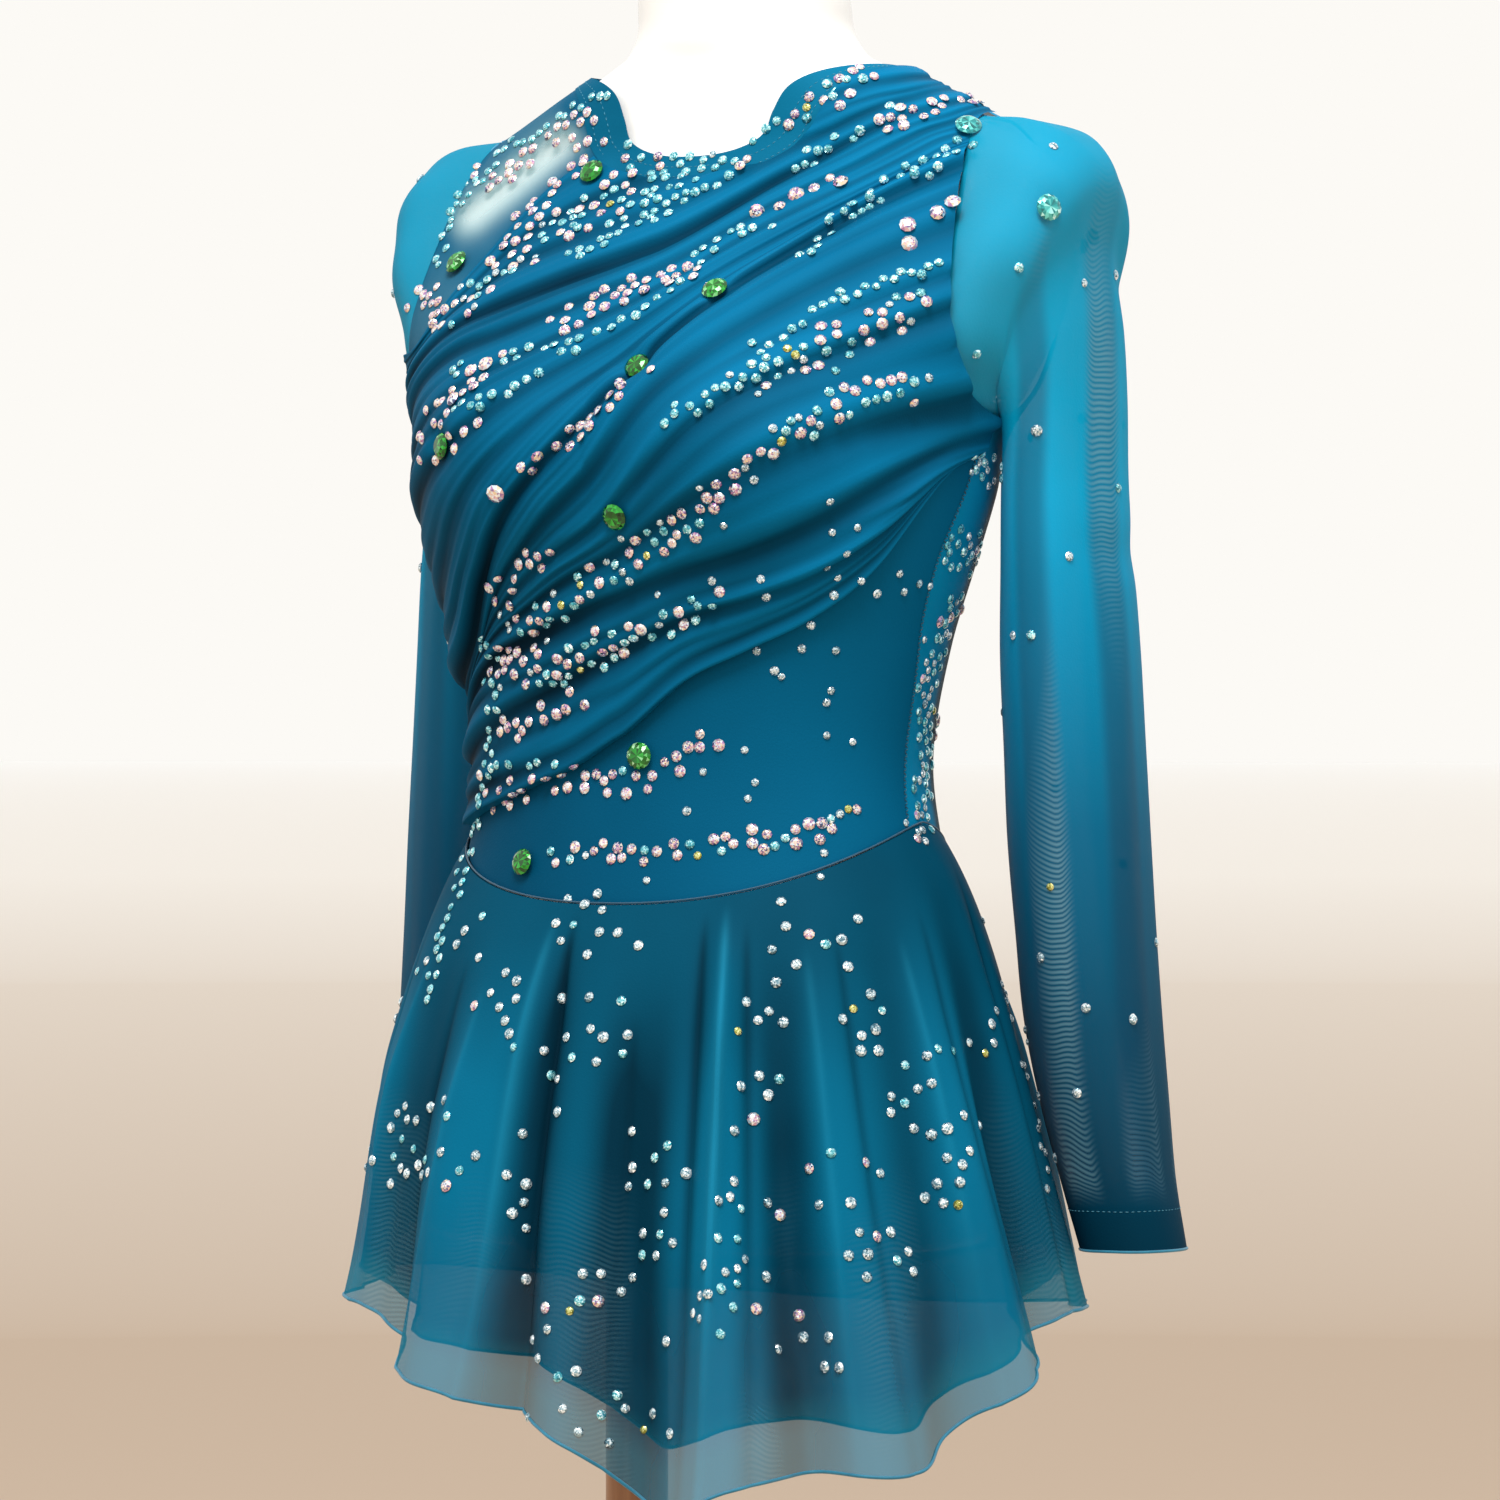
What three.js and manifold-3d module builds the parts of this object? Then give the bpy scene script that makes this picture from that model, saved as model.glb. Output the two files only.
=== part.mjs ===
// A long-sleeved figure skating dress on a limbless dress form with a pole and a round base.
// Millimetres, +Z up. The wearer faces -Y and the wearer's left is +X.
// The origin is on the floor, under the middle of the torso.

import * as THREE from "three";
import { mergeVertices } from "three/addons/utils/BufferGeometryUtils.js";
import Module from "manifold-3d";

const wasm = await Module();
wasm.setup();

// Driving dimensions. A level is a height measured from the neck point, so it is negative below it.
const NECK_HEIGHT = 1200;
const CLOTH = 1.1;
const DRAPE_CLOTH = 1.3;
const CLOTH_SEAT = 0.5;
const BAND_CLOTH = 1.5;
const DRAPE_SEAT = 1.6;
const DRAPE_OVER_PANEL = 1.4;
const SLEEVE_SEAT = 0.3;
const FORM_INSET = 1.8;
const SEAM_GAP = 0.3;
const ROUNDNESS = 2.2;
const WAIST_SEAM_SIDE = -390;
const WAIST_SEAM_DIP = 40;
const FORM_BOTTOM = -600;
const NECK = { aside: 1, middle: 45, power: 2.5, across: 84, deep: 58.5, bandAcross: 92, bandDeep: 66 };
const BUST = { across: 77, level: -200, out: 17, wide: 52, tall: 55 };
const STUB = { start: 150, keep: 0.68, lowest: -195 };
const POLE = { x: -40, radius: 16, socket: 40 };
const BASE = { radius: 170, thick: 8, edge: 3 };
const SKIRT = { seat: 3.6, flare: 0.23, hip: 16, hipFade: 40, fullDrop: 260, innerSeat: 2.1, innerInset: 5 };
// The skirt hangs straighter below the hip on the wearer's right side.
const SKIRT_HUG = { angle: -78, wide: 48, out: 20, from: 95, to: 230 };
const CUT_REACH = 300;
const NECK_CUT = { low: -90, high: 60 };
const LEG_HOLE = { x: 120, level: -612, across: 99, deep: 135, tall: 62 };

// Sections of the torso: half width, its middle in Y, and the depth in front of and behind that middle.
const TORSO = [
  { level: -600, half: 151, middle: 0, front: 100, back: 110 },
  { level: -540, half: 152, middle: 0, front: 105, back: 114 },
  { level: -480, half: 144, middle: 0, front: 102, back: 106 },
  { level: -430, half: 131, middle: 0, front: 95, back: 94 },
  { level: -400, half: 124, middle: 0, front: 89, back: 88 },
  { level: -358, half: 119, middle: 0, front: 84, back: 86 },
  { level: -300, half: 128, middle: 2, front: 90, back: 91 },
  { level: -260, half: 140, middle: 5, front: 103, back: 94 },
  { level: -225, half: 149, middle: 12, front: 120, back: 92 },
  { level: -191, half: 154, middle: 22, front: 130, back: 88 },
  { level: -165, half: 170, middle: 32, front: 127, back: 84 },
  { level: -135, half: 189, middle: 42, front: 118, back: 78 },
  { level: -100, half: 200, middle: 50, front: 97, back: 72 },
  { level: -63, half: 190, middle: 53, front: 72, back: 69 },
  { level: -45, half: 162, middle: 52, front: 63, back: 68 },
  { level: -30, half: 133, middle: 50, front: 60, back: 66 },
  { level: -15, half: 104, middle: 48, front: 58, back: 63 },
  { level: 0, half: 73, middle: 47, front: 56, back: 60 },
];

// The neck of the form above the torso, ending in a small rounded top.
const NECK_COLUMN = [
  { level: 4, half: 64, middle: 46, front: 55, back: 57 },
  { level: 34, half: 54, middle: 41, front: 51, back: 52 },
  { level: 66, half: 53, middle: 36, front: 50, back: 51 },
  { level: 92, half: 52, middle: 31, front: 49, back: 50 },
  { level: 99, half: 44, middle: 30, front: 41, back: 42 },
];

// Where the armhole seam lies: its distance from the middle of the body.
const ARMHOLE = [
  { level: -200, x: 157 },
  { level: -170, x: 157 },
  { level: -131, x: 155 },
  { level: -95, x: 151 },
  { level: -60, x: 146 },
  { level: -34, x: 140 },
  { level: -10, x: 134 },
  { level: 40, x: 134 },
];

// The side seam and shoulder seam: front and back meet at this Y.
const SIDE_SEAM = [
  { level: -480, y: -12 },
  { level: -388, y: -12 },
  { level: -328, y: -8 },
  { level: -260, y: -14 },
  { level: -225, y: -3 },
  { level: -191, y: 13 },
  { level: -60, y: 48 },
  { level: 60, y: 48 },
];

// Lines that the ruched front follows, from its upper edge (at 0) to its lower edge (at 1).
// Each row gives the level of every line at one angle from the front towards the wearer's left.
const DRAPE_LINES = [0, 0.2, 0.4, 0.6, 0.72, 0.85, 1];
const DRAPE = [
  { angle: -95, upper: -152, second: -188, third: -250, middle: -332, fifth: -342, sixth: -354, lower: -388 },
  { angle: -65, upper: -148, second: -168, third: -226, middle: -316, fifth: -325, sixth: -336, lower: -392 },
  { angle: -45, upper: -143, second: -152, third: -208, middle: -297, fifth: -303, sixth: -315, lower: -384 },
  { angle: -30, upper: -106, second: -136, third: -192, middle: -266, fifth: -282, sixth: -302, lower: -376 },
  { angle: -20, upper: -62, second: -126, third: -180, middle: -241, fifth: -268, sixth: -295, lower: -369 },
  { angle: -10, upper: -38, second: -114, third: -165, middle: -218, fifth: -252, sixth: -286, lower: -361 },
  { angle: 0, upper: -26, second: -100, third: -146, middle: -193, fifth: -236, sixth: -276, lower: -347 },
  { angle: 15, upper: -18, second: -66, third: -104, middle: -134, fifth: -200, sixth: -261, lower: -319 },
  { angle: 30, upper: -14, second: -47, third: -74, middle: -92, fifth: -164, sixth: -250, lower: -303 },
  { angle: 45, upper: -10, second: -37, third: -56, middle: -70, fifth: -138, sixth: -237, lower: -287 },
  { angle: 60, upper: -8, second: -32, third: -48, middle: -60, fifth: -120, sixth: -220, lower: -262 },
  { angle: 75, upper: -6, second: -28, third: -42, middle: -52, fifth: -110, sixth: -204, lower: -219 },
  { angle: 95, upper: -4, second: -25, third: -38, middle: -46, fifth: -104, sixth: -189, lower: -195 },
];
const DRAPE_KEYS = ["upper", "second", "third", "middle", "fifth", "sixth", "lower"];

// The folds of the ruched front: how far down it each one lies, how wide it is and how far it stands out.
const FOLDS = [
  { at: 0.05, wide: 0.022, out: 2.4 },
  { at: 0.115, wide: 0.024, out: 3.6 },
  { at: 0.175, wide: 0.02, out: 4.2 },
  { at: 0.245, wide: 0.026, out: 5.0 },
  { at: 0.315, wide: 0.024, out: 3.4 },
  { at: 0.385, wide: 0.028, out: 5.6 },
  { at: 0.465, wide: 0.03, out: 4.2 },
  { at: 0.545, wide: 0.026, out: 6.4 },
  { at: 0.635, wide: 0.026, out: 6.6 },
  { at: 0.7, wide: 0.022, out: 4.6 },
  { at: 0.765, wide: 0.024, out: 5.8 },
  { at: 0.825, wide: 0.02, out: 4.4 },
  { at: 0.885, wide: 0.024, out: 5.2 },
  { at: 0.95, wide: 0.02, out: 3.2 },
];

// The sleeve's rings from the armhole to the cuff. Each has an inner and an outer point, and its reach in Y.
const SLEEVE = [
  { inX: 157, inLevel: -187, outX: 140, outLevel: -34, front: -31, back: 98 },
  { inX: 157, inLevel: -188, outX: 168, outLevel: -38, front: -27, back: 97 },
  { inX: 157, inLevel: -190, outX: 193, outLevel: -49, front: -20, back: 96 },
  { inX: 157, inLevel: -192, outX: 206, outLevel: -68, front: -13, back: 96 },
  { inX: 156, inLevel: -194, outX: 199, outLevel: -102, front: -5, back: 97 },
  { inX: 155, inLevel: -197, outX: 201, outLevel: -138, front: 3, back: 99 },
  { inX: 153, inLevel: -204, outX: 202, outLevel: -175, front: 9, back: 100 },
  { inX: 150, inLevel: -225, outX: 203, outLevel: -219, front: 12, back: 100 },
  { inX: 149, inLevel: -262, outX: 207, outLevel: -262, front: 12, back: 100 },
  { inX: 148, inLevel: -306, outX: 211, outLevel: -306, front: 13, back: 100 },
  { inX: 150, inLevel: -352, outX: 214, outLevel: -352, front: 14, back: 99 },
  { inX: 152, inLevel: -398, outX: 217, outLevel: -398, front: 15, back: 98 },
  { inX: 156, inLevel: -444, outX: 220, outLevel: -444, front: 17, back: 97 },
  { inX: 160, inLevel: -488, outX: 224, outLevel: -488, front: 20, back: 95 },
  { inX: 168, inLevel: -530, outX: 228, outLevel: -530, front: 24, back: 93 },
  { inX: 178, inLevel: -568, outX: 232, outLevel: -568, front: 29, back: 90 },
  { inX: 188, inLevel: -603, outX: 239, outLevel: -603, front: 34, back: 85 },
];

// The right sleeve hangs closer in than the left, and a little further back, by its place down the rings.
const RIGHT_SLEEVE = [
  { place: 0, pull: 0, back: 0 },
  { place: 2.5, pull: 14, back: 1 },
  { place: 6, pull: 13, back: 4 },
  { place: 9, pull: 8, back: 9 },
  { place: 12, pull: 8, back: 9 },
  { place: 16, pull: 12, back: 9 },
];

// The skirt's flutes round the body: ridges stand out and valleys fall in, both in full at the hem.
const FLUTES = [
  { angle: -168, wide: 9, out: 14 },
  { angle: -148, wide: 8, out: -9 },
  { angle: -130, wide: 9, out: 15 },
  { angle: -110, wide: 8, out: -9 },
  { angle: -91, wide: 8, out: 9 },
  { angle: -73, wide: 7, out: -8 },
  { angle: -54, wide: 9, out: 12 },
  { angle: -35, wide: 7, out: -6 },
  { angle: -18, wide: 8, out: 19 },
  { angle: -6, wide: 5, out: -12 },
  { angle: 2, wide: 5, out: 6 },
  { angle: 11, wide: 6, out: -19 },
  { angle: 26, wide: 8, out: 24 },
  { angle: 37, wide: 5, out: -17 },
  { angle: 49, wide: 8, out: 13 },
  { angle: 61, wide: 6, out: -7 },
  { angle: 73, wide: 7, out: 20 },
  { angle: 83, wide: 5, out: -13 },
  { angle: 97, wide: 8, out: 7 },
  { angle: 115, wide: 8, out: -9 },
  { angle: 133, wide: 9, out: 15 },
  { angle: 152, wide: 8, out: -8 },
  { angle: 172, wide: 8, out: 9 },
];

// The level of the outer skirt's hem round the body.
const HEM = [
  { angle: -210, level: -640 },
  { angle: -180, level: -645 },
  { angle: -150, level: -640 },
  { angle: -90, level: -622 },
  { angle: -60, level: -627 },
  { angle: -38, level: -638 },
  { angle: -24, level: -657 },
  { angle: -9, level: -671 },
  { angle: 5, level: -691 },
  { angle: 17, level: -720 },
  { angle: 28, level: -706 },
  { angle: 41, level: -701 },
  { angle: 54, level: -700 },
  { angle: 62, level: -685 },
  { angle: 75, level: -659 },
  { angle: 90, level: -636 },
  { angle: 120, level: -634 },
  { angle: 150, level: -640 },
  { angle: 180, level: -645 },
  { angle: 210, level: -640 },
];

// The large faceted stones: what each lies on, its angle round the body and its level.
const STONES = [
  { name: "stone_green_1", on: "drape", angle: -14, level: -62 },
  { name: "stone_green_2", on: "yoke", angle: -37, level: -104 },
  { name: "stone_green_3", on: "drape", angle: -32, level: -201 },
  { name: "stone_green_4", on: "drape", angle: 13, level: -130 },
  { name: "stone_green_5", on: "drape", angle: 5.5, level: -166 },
  { name: "stone_green_6", on: "drape", angle: 5, level: -235 },
  { name: "stone_green_7", on: "bodice", angle: 4.5, level: -356 },
  { name: "stone_green_8", on: "bodice", angle: -23.5, level: -410 },
  { name: "stone_aqua_1", on: "drape", angle: 60, level: -44 },
];
const SLEEVE_STONE = { name: "stone_aqua_2", turn: 0.14, along: 0.17 };
const STONE = { foot: 2.6, girdle: 6.75, girdleHeight: 2.4, table: 3.8, height: 4.8, sides: 8 };

const rad = THREE.MathUtils.degToRad;

// A smooth curve through one column of a table whose rows rise in the key column.
function smooth(rows, key, column, at) {
  const last = rows.length - 1;
  if (at <= rows[0][key]) return rows[0][column];
  if (at >= rows[last][key]) return rows[last][column];
  let i = 0;
  while (rows[i + 1][key] < at) i += 1;
  const slope = (k) => (rows[k + 1][column] - rows[k][column]) / (rows[k + 1][key] - rows[k][key]);
  const startSlope = i > 0 ? (slope(i - 1) + slope(i)) / 2 : slope(i);
  const endSlope = i + 1 < last ? (slope(i) + slope(i + 1)) / 2 : slope(i);
  const length = rows[i + 1][key] - rows[i][key];
  const t = (at - rows[i][key]) / length;
  const t2 = t * t;
  const t3 = t2 * t;
  const rise = (2 * t3 - 3 * t2 + 1) * rows[i][column] + (3 * t2 - 2 * t3) * rows[i + 1][column];
  return rise + length * ((t3 - 2 * t2 + t) * startSlope + (t3 - t2) * endSlope);
}

const mix = THREE.MathUtils.lerp;
const fade = THREE.MathUtils.smoothstep;
const bump = (distance, wide) => Math.exp(-((distance / wide) ** 2));

// A section is a rounded oval: its point at an angle from the front towards the wearer's left.
function ovalPoint(angle, level, section) {
  const s = Math.sin(rad(angle));
  const c = Math.cos(rad(angle));
  const depth = c > 0 ? section.front : section.back;
  const x = section.half * Math.sign(s) * Math.abs(s) ** (2 / ROUNDNESS);
  const y = section.middle - depth * Math.sign(c) * Math.abs(c) ** (2 / ROUNDNESS);
  return new THREE.Vector3(x, y, NECK_HEIGHT + level);
}

function torsoSection(level) {
  const section = {};
  for (const column of ["half", "middle", "front", "back"]) {
    section[column] = smooth(TORSO, "level", column, level);
  }
  return section;
}

function torsoPoint(angle, level) {
  const point = ovalPoint(angle, level, torsoSection(level));
  const facing = Math.max(0, Math.cos(rad(angle)));
  const across = bump(Math.abs(point.x) - BUST.across, BUST.wide);
  const upright = bump(level - BUST.level, BUST.tall);
  point.y -= BUST.out * Math.sqrt(facing) * across * upright;
  return point;
}

// A surface point moved out along the surface's own normal.
function raised(surface, u, v, out, du, dv) {
  const alongU = surface(u + du, v).sub(surface(u - du, v));
  const alongV = surface(u, v + dv).sub(surface(u, v - dv));
  const normal = alongU.cross(alongV).normalize();
  return surface(u, v).addScaledVector(normal, out);
}

const torsoRaised = (angle, level, out) => raised(torsoPoint, angle, level, out, 0.5, 0.5);

const waistSeam = (angle) => WAIST_SEAM_SIDE - WAIST_SEAM_DIP * Math.abs(Math.cos(rad(angle))) ** 1.3;

// A geometry from points and triangles, turned so that its faces point out.
function closedGeometry(points, triangles) {
  let volume = 0;
  for (const [a, b, c] of triangles) {
    volume += points[a].dot(points[b].clone().cross(points[c]));
  }
  const order = volume > 0 ? ([a, b, c]) => [a, b, c] : ([a, b, c]) => [a, c, b];
  const geometry = new THREE.BufferGeometry();
  const positions = points.flatMap((point) => point.toArray());
  geometry.setAttribute("position", new THREE.Float32BufferAttribute(positions, 3));
  geometry.setIndex(triangles.flatMap(order));
  return geometry;
}

// A cloth wall: place(u, v) gives its inner and outer point, and a closed wall joins up round u.
function wallGeometry(columns, rows, closed, place) {
  const across = closed ? columns : columns + 1;
  const points = [];
  for (let j = 0; j <= rows; j += 1) {
    for (let i = 0; i < across; i += 1) points.push(...place(i / columns, j / rows));
  }
  const at = (i, j, side) => 2 * (j * across + (i % across)) + side;
  const triangles = [];
  const quad = (a, b, c, d) => triangles.push([a, b, c], [a, c, d]);
  for (let j = 0; j < rows; j += 1) {
    for (let i = 0; i < columns; i += 1) {
      quad(at(i, j, 1), at(i + 1, j, 1), at(i + 1, j + 1, 1), at(i, j + 1, 1));
      quad(at(i, j, 0), at(i, j + 1, 0), at(i + 1, j + 1, 0), at(i + 1, j, 0));
    }
    if (!closed) {
      quad(at(0, j, 0), at(0, j, 1), at(0, j + 1, 1), at(0, j + 1, 0));
      quad(at(columns, j, 1), at(columns, j, 0), at(columns, j + 1, 0), at(columns, j + 1, 1));
    }
  }
  for (let i = 0; i < columns; i += 1) {
    quad(at(i, 0, 0), at(i + 1, 0, 0), at(i + 1, 0, 1), at(i, 0, 1));
    quad(at(i, rows, 1), at(i + 1, rows, 1), at(i + 1, rows, 0), at(i, rows, 0));
  }
  return closedGeometry(points, triangles);
}

// A solid through rings of points, closed by a fan at each end.
function loftGeometry(rings) {
  const count = rings[0].length;
  const points = rings.flat();
  const triangles = [];
  for (let j = 0; j + 1 < rings.length; j += 1) {
    for (let i = 0; i < count; i += 1) {
      const next = (i + 1) % count;
      const low = j * count;
      const high = low + count;
      triangles.push([low + i, low + next, high + next], [low + i, high + next, high + i]);
    }
  }
  const top = (rings.length - 1) * count;
  for (const [ring, start, flip] of [[rings[0], 0, true], [rings.at(-1), top, false]]) {
    const centre = new THREE.Vector3();
    for (const point of ring) centre.addScaledVector(point, 1 / count);
    points.push(centre);
    const hub = points.length - 1;
    for (let i = 0; i < count; i += 1) {
      const next = (i + 1) % count;
      triangles.push(flip ? [start + next, start + i, hub] : [start + i, start + next, hub]);
    }
  }
  return closedGeometry(points, triangles);
}

// Cutting and joining.
function toSolid(source) {
  const bare = source.clone();
  for (const name of Object.keys(bare.attributes)) {
    if (name !== "position") bare.deleteAttribute(name);
  }
  const merged = mergeVertices(bare, 1e-4);
  return new wasm.Manifold(new wasm.Mesh({
    numProp: 3,
    vertProperties: new Float32Array(merged.attributes.position.array),
    triVerts: new Uint32Array(merged.index.array),
  }));
}

function toGeometry(solid) {
  const mesh = solid.getMesh();
  const geometry = new THREE.BufferGeometry();
  geometry.setAttribute("position", new THREE.Float32BufferAttribute(mesh.vertProperties, 3));
  geometry.setIndex(new THREE.Uint32BufferAttribute(mesh.triVerts, 1));
  return geometry;
}

// An upright prism round the neck, a squarish oval in plan.
function neckPrism(across, deep) {
  const sides = 64;
  const squared = (share) => Math.sign(share) * Math.abs(share) ** (2 / NECK.power);
  const corners = Array.from({ length: sides }, (_, i) => {
    const turn = (2 * Math.PI * i) / sides;
    const x = NECK.aside + across * squared(Math.cos(turn));
    return new THREE.Vector2(x, NECK.middle + deep * squared(Math.sin(turn)));
  });
  const depth = NECK_CUT.high - NECK_CUT.low;
  const geometry = new THREE.ExtrudeGeometry(new THREE.Shape(corners), { depth, bevelEnabled: false });
  geometry.translate(0, 0, NECK_HEIGHT + NECK_CUT.low);
  return toSolid(geometry);
}

// A prism over an outline of [across, level] pairs, running along X or along Y.
function outlinePrism(outline, along) {
  const shape = new THREE.Shape(outline.map(([a, level]) => new THREE.Vector2(a, NECK_HEIGHT + level)));
  const geometry = new THREE.ExtrudeGeometry(shape, { depth: 2 * CUT_REACH, bevelEnabled: false });
  geometry.translate(0, 0, -CUT_REACH);
  geometry.rotateX(Math.PI / 2);
  if (along === "x") geometry.rotateZ(Math.PI / 2);
  return toSolid(geometry);
}

const armholeOutline = (side) => [
  [side * CUT_REACH, ARMHOLE[0].level - 40],
  [side * (ARMHOLE[0].x - SEAM_GAP / 2), ARMHOLE[0].level - 40],
  ...ARMHOLE.map(({ level, x }) => [side * (x - SEAM_GAP / 2), level]),
  [side * CUT_REACH, ARMHOLE.at(-1).level],
];
const seamOutline = (shift, reach) => [
  [reach, SIDE_SEAM[0].level],
  ...SIDE_SEAM.map(({ level, y }) => [y + shift, level]),
  [reach, SIDE_SEAM.at(-1).level],
];
const armholes = [1, -1].map((side) => outlinePrism(armholeOutline(side), "y"));
const behindSeam = outlinePrism(seamOutline(-SEAM_GAP / 2, CUT_REACH), "x");
const beforeSeam = outlinePrism(seamOutline(SEAM_GAP / 2, -CUT_REACH), "x");
const neckOpening = neckPrism(NECK.across, NECK.deep);
const bandRegion = neckPrism(NECK.bandAcross, NECK.bandDeep);
const bandOpening = neckPrism(NECK.bandAcross + SEAM_GAP, NECK.bandDeep + SEAM_GAP);

function cut(geometry, cutters) {
  let solid = toSolid(geometry);
  for (const cutter of cutters) solid = solid.subtract(cutter);
  return solid;
}

// A panel of plain cloth on the torso between two angles and two edge lines, its rows closer near the top.
function torsoPanel(columns, rows, fromAngle, toAngle, lowEdge, highEdge, crowding = 1) {
  return wallGeometry(columns, rows, false, (u, v) => {
    const angle = mix(fromAngle, toAngle, u);
    const level = mix(lowEdge(angle), highEdge(angle), 1 - (1 - v) ** crowding);
    return [CLOTH_SEAT, CLOTH_SEAT + CLOTH].map((out) => torsoRaised(angle, level, out));
  });
}

// The dress form: the torso with shortened arm stubs, a neck and a socket for the pole.
function dressForm() {
  const around = 32;
  const formPoint = (angle, level) => {
    const point = torsoRaised(angle, level, -FORM_INSET);
    const reach = Math.abs(point.x);
    if (reach > STUB.start && point.z > NECK_HEIGHT + STUB.lowest) {
      point.x = Math.sign(point.x) * (STUB.start + (reach - STUB.start) * STUB.keep);
    }
    return point;
  };
  const levels = [-600, -550, -500, -460, -425, -395, -360, -325, -292, -262, -234, -208, -184, -158,
    -130, -100, -80, -66, -54, -42, -28, -14];
  const angles = Array.from({ length: around }, (_, i) => (360 * i) / around);
  const foot = { half: 150, middle: 0, front: 92, back: 102 };
  const rings = [
    angles.map((angle) => ovalPoint(angle, FORM_BOTTOM - 2, foot)),
    ...levels.map((level) => angles.map((angle) => formPoint(angle, level))),
    ...NECK_COLUMN.map((section) => angles.map((angle) => ovalPoint(angle, section.level, section))),
  ];
  const socket = new THREE.CylinderGeometry(POLE.radius + SEAM_GAP, POLE.radius + SEAM_GAP, 2 * POLE.socket, 24);
  socket.rotateX(Math.PI / 2);
  socket.translate(POLE.x, 0, NECK_HEIGHT + FORM_BOTTOM);
  return toGeometry(toSolid(loftGeometry(rings)).subtract(toSolid(socket)));
}

function standPole() {
  const low = BASE.thick + SEAM_GAP;
  const high = NECK_HEIGHT + FORM_BOTTOM + POLE.socket - SEAM_GAP;
  const geometry = new THREE.CylinderGeometry(POLE.radius, POLE.radius, high - low, 24);
  geometry.rotateX(Math.PI / 2);
  geometry.translate(POLE.x, 0, (low + high) / 2);
  return geometry;
}

function standBase() {
  const corner = BASE.radius - BASE.edge;
  const profile = [
    [0, 0],
    [BASE.radius - 1.5, 0],
    [BASE.radius, 1.5],
    [BASE.radius, BASE.thick - BASE.edge],
    [corner + BASE.edge * Math.SQRT1_2, BASE.thick - BASE.edge * (1 - Math.SQRT1_2)],
    [corner, BASE.thick],
    [0, BASE.thick],
  ];
  const geometry = new THREE.LatheGeometry(profile.map(([r, z]) => new THREE.Vector2(r, z)), 40);
  geometry.rotateX(Math.PI / 2);
  geometry.translate(POLE.x, 0, 0);
  return geometry;
}

// The ruched front. A place on it is an angle and a share of the way down its lines.
function drapeLevel(angle, down) {
  const rows = DRAPE_KEYS.map((key, k) => ({ at: DRAPE_LINES[k], level: smooth(DRAPE, "angle", key, angle) }));
  return smooth(rows, "at", "level", down);
}

function drapeSpread(angle, down) {
  const step = 0.01;
  const low = Math.min(1, down + step);
  const high = Math.max(0, down - step);
  return (drapeLevel(angle, high) - drapeLevel(angle, low)) / (low - high);
}

// The folds flatten where the lines run close together, and the lower edge lies on the plain panel.
function drapeOut(angle, down) {
  const fullSpread = 300;
  const room = Math.min(1, Math.max(0, drapeSpread(angle, down)) / fullSpread);
  const overPanel = Math.max(fade(down, 0.84, 0.92), 1 - fade(down, 0.05, 0.12));
  const seat = mix(DRAPE_SEAT, CLOTH_SEAT + CLOTH + DRAPE_OVER_PANEL, overPanel);
  let fold = 0;
  for (const { at, wide, out } of FOLDS) fold += out * bump(down - at, wide);
  return seat + fold * room;
}

function drapePoint(angle, down) {
  return torsoRaised(angle, drapeLevel(angle, down), drapeOut(angle, down));
}

function frontDrape() {
  const geometry = wallGeometry(16, 37, false, (u, v) => {
    const angle = mix(95, -95, u);
    return [drapePoint(angle, v), torsoRaised(angle, drapeLevel(angle, v), drapeOut(angle, v) + DRAPE_CLOTH)];
  });
  return toGeometry(cut(geometry, [...armholes, behindSeam, bandOpening]));
}

// The plain lower front shows under the drape's edge and runs a little way up behind it.
function bodiceFront() {
  const tuckedUnder = 0.955;
  const geometry = torsoPanel(18, 6, -96, 96, waistSeam, (angle) => drapeLevel(angle, tuckedUnder));
  return toGeometry(cut(geometry, [...armholes, behindSeam]));
}

// The sheer patch on the wearer's right shoulder, above the drape's upper edge.
function shoulderYoke() {
  const geometry = torsoPanel(9, 6, -96, -10, (angle) => drapeLevel(angle, 0.03), () => -1);
  return toGeometry(cut(geometry, [...armholes, behindSeam, bandOpening]));
}

function bodiceBack() {
  const geometry = torsoPanel(17, 14, 80, 280, waistSeam, () => -1, 1.7);
  return toGeometry(cut(geometry, [...armholes, beforeSeam, bandOpening]));
}

function neckband() {
  const geometry = wallGeometry(32, 2, true, (u, v) => {
    const level = mix(-84, -1, v);
    return [CLOTH_SEAT, CLOTH_SEAT + BAND_CLOTH].map((out) => torsoRaised(360 * u, level, out));
  });
  return toGeometry(toSolid(geometry).intersect(bandRegion).subtract(neckOpening));
}

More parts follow.
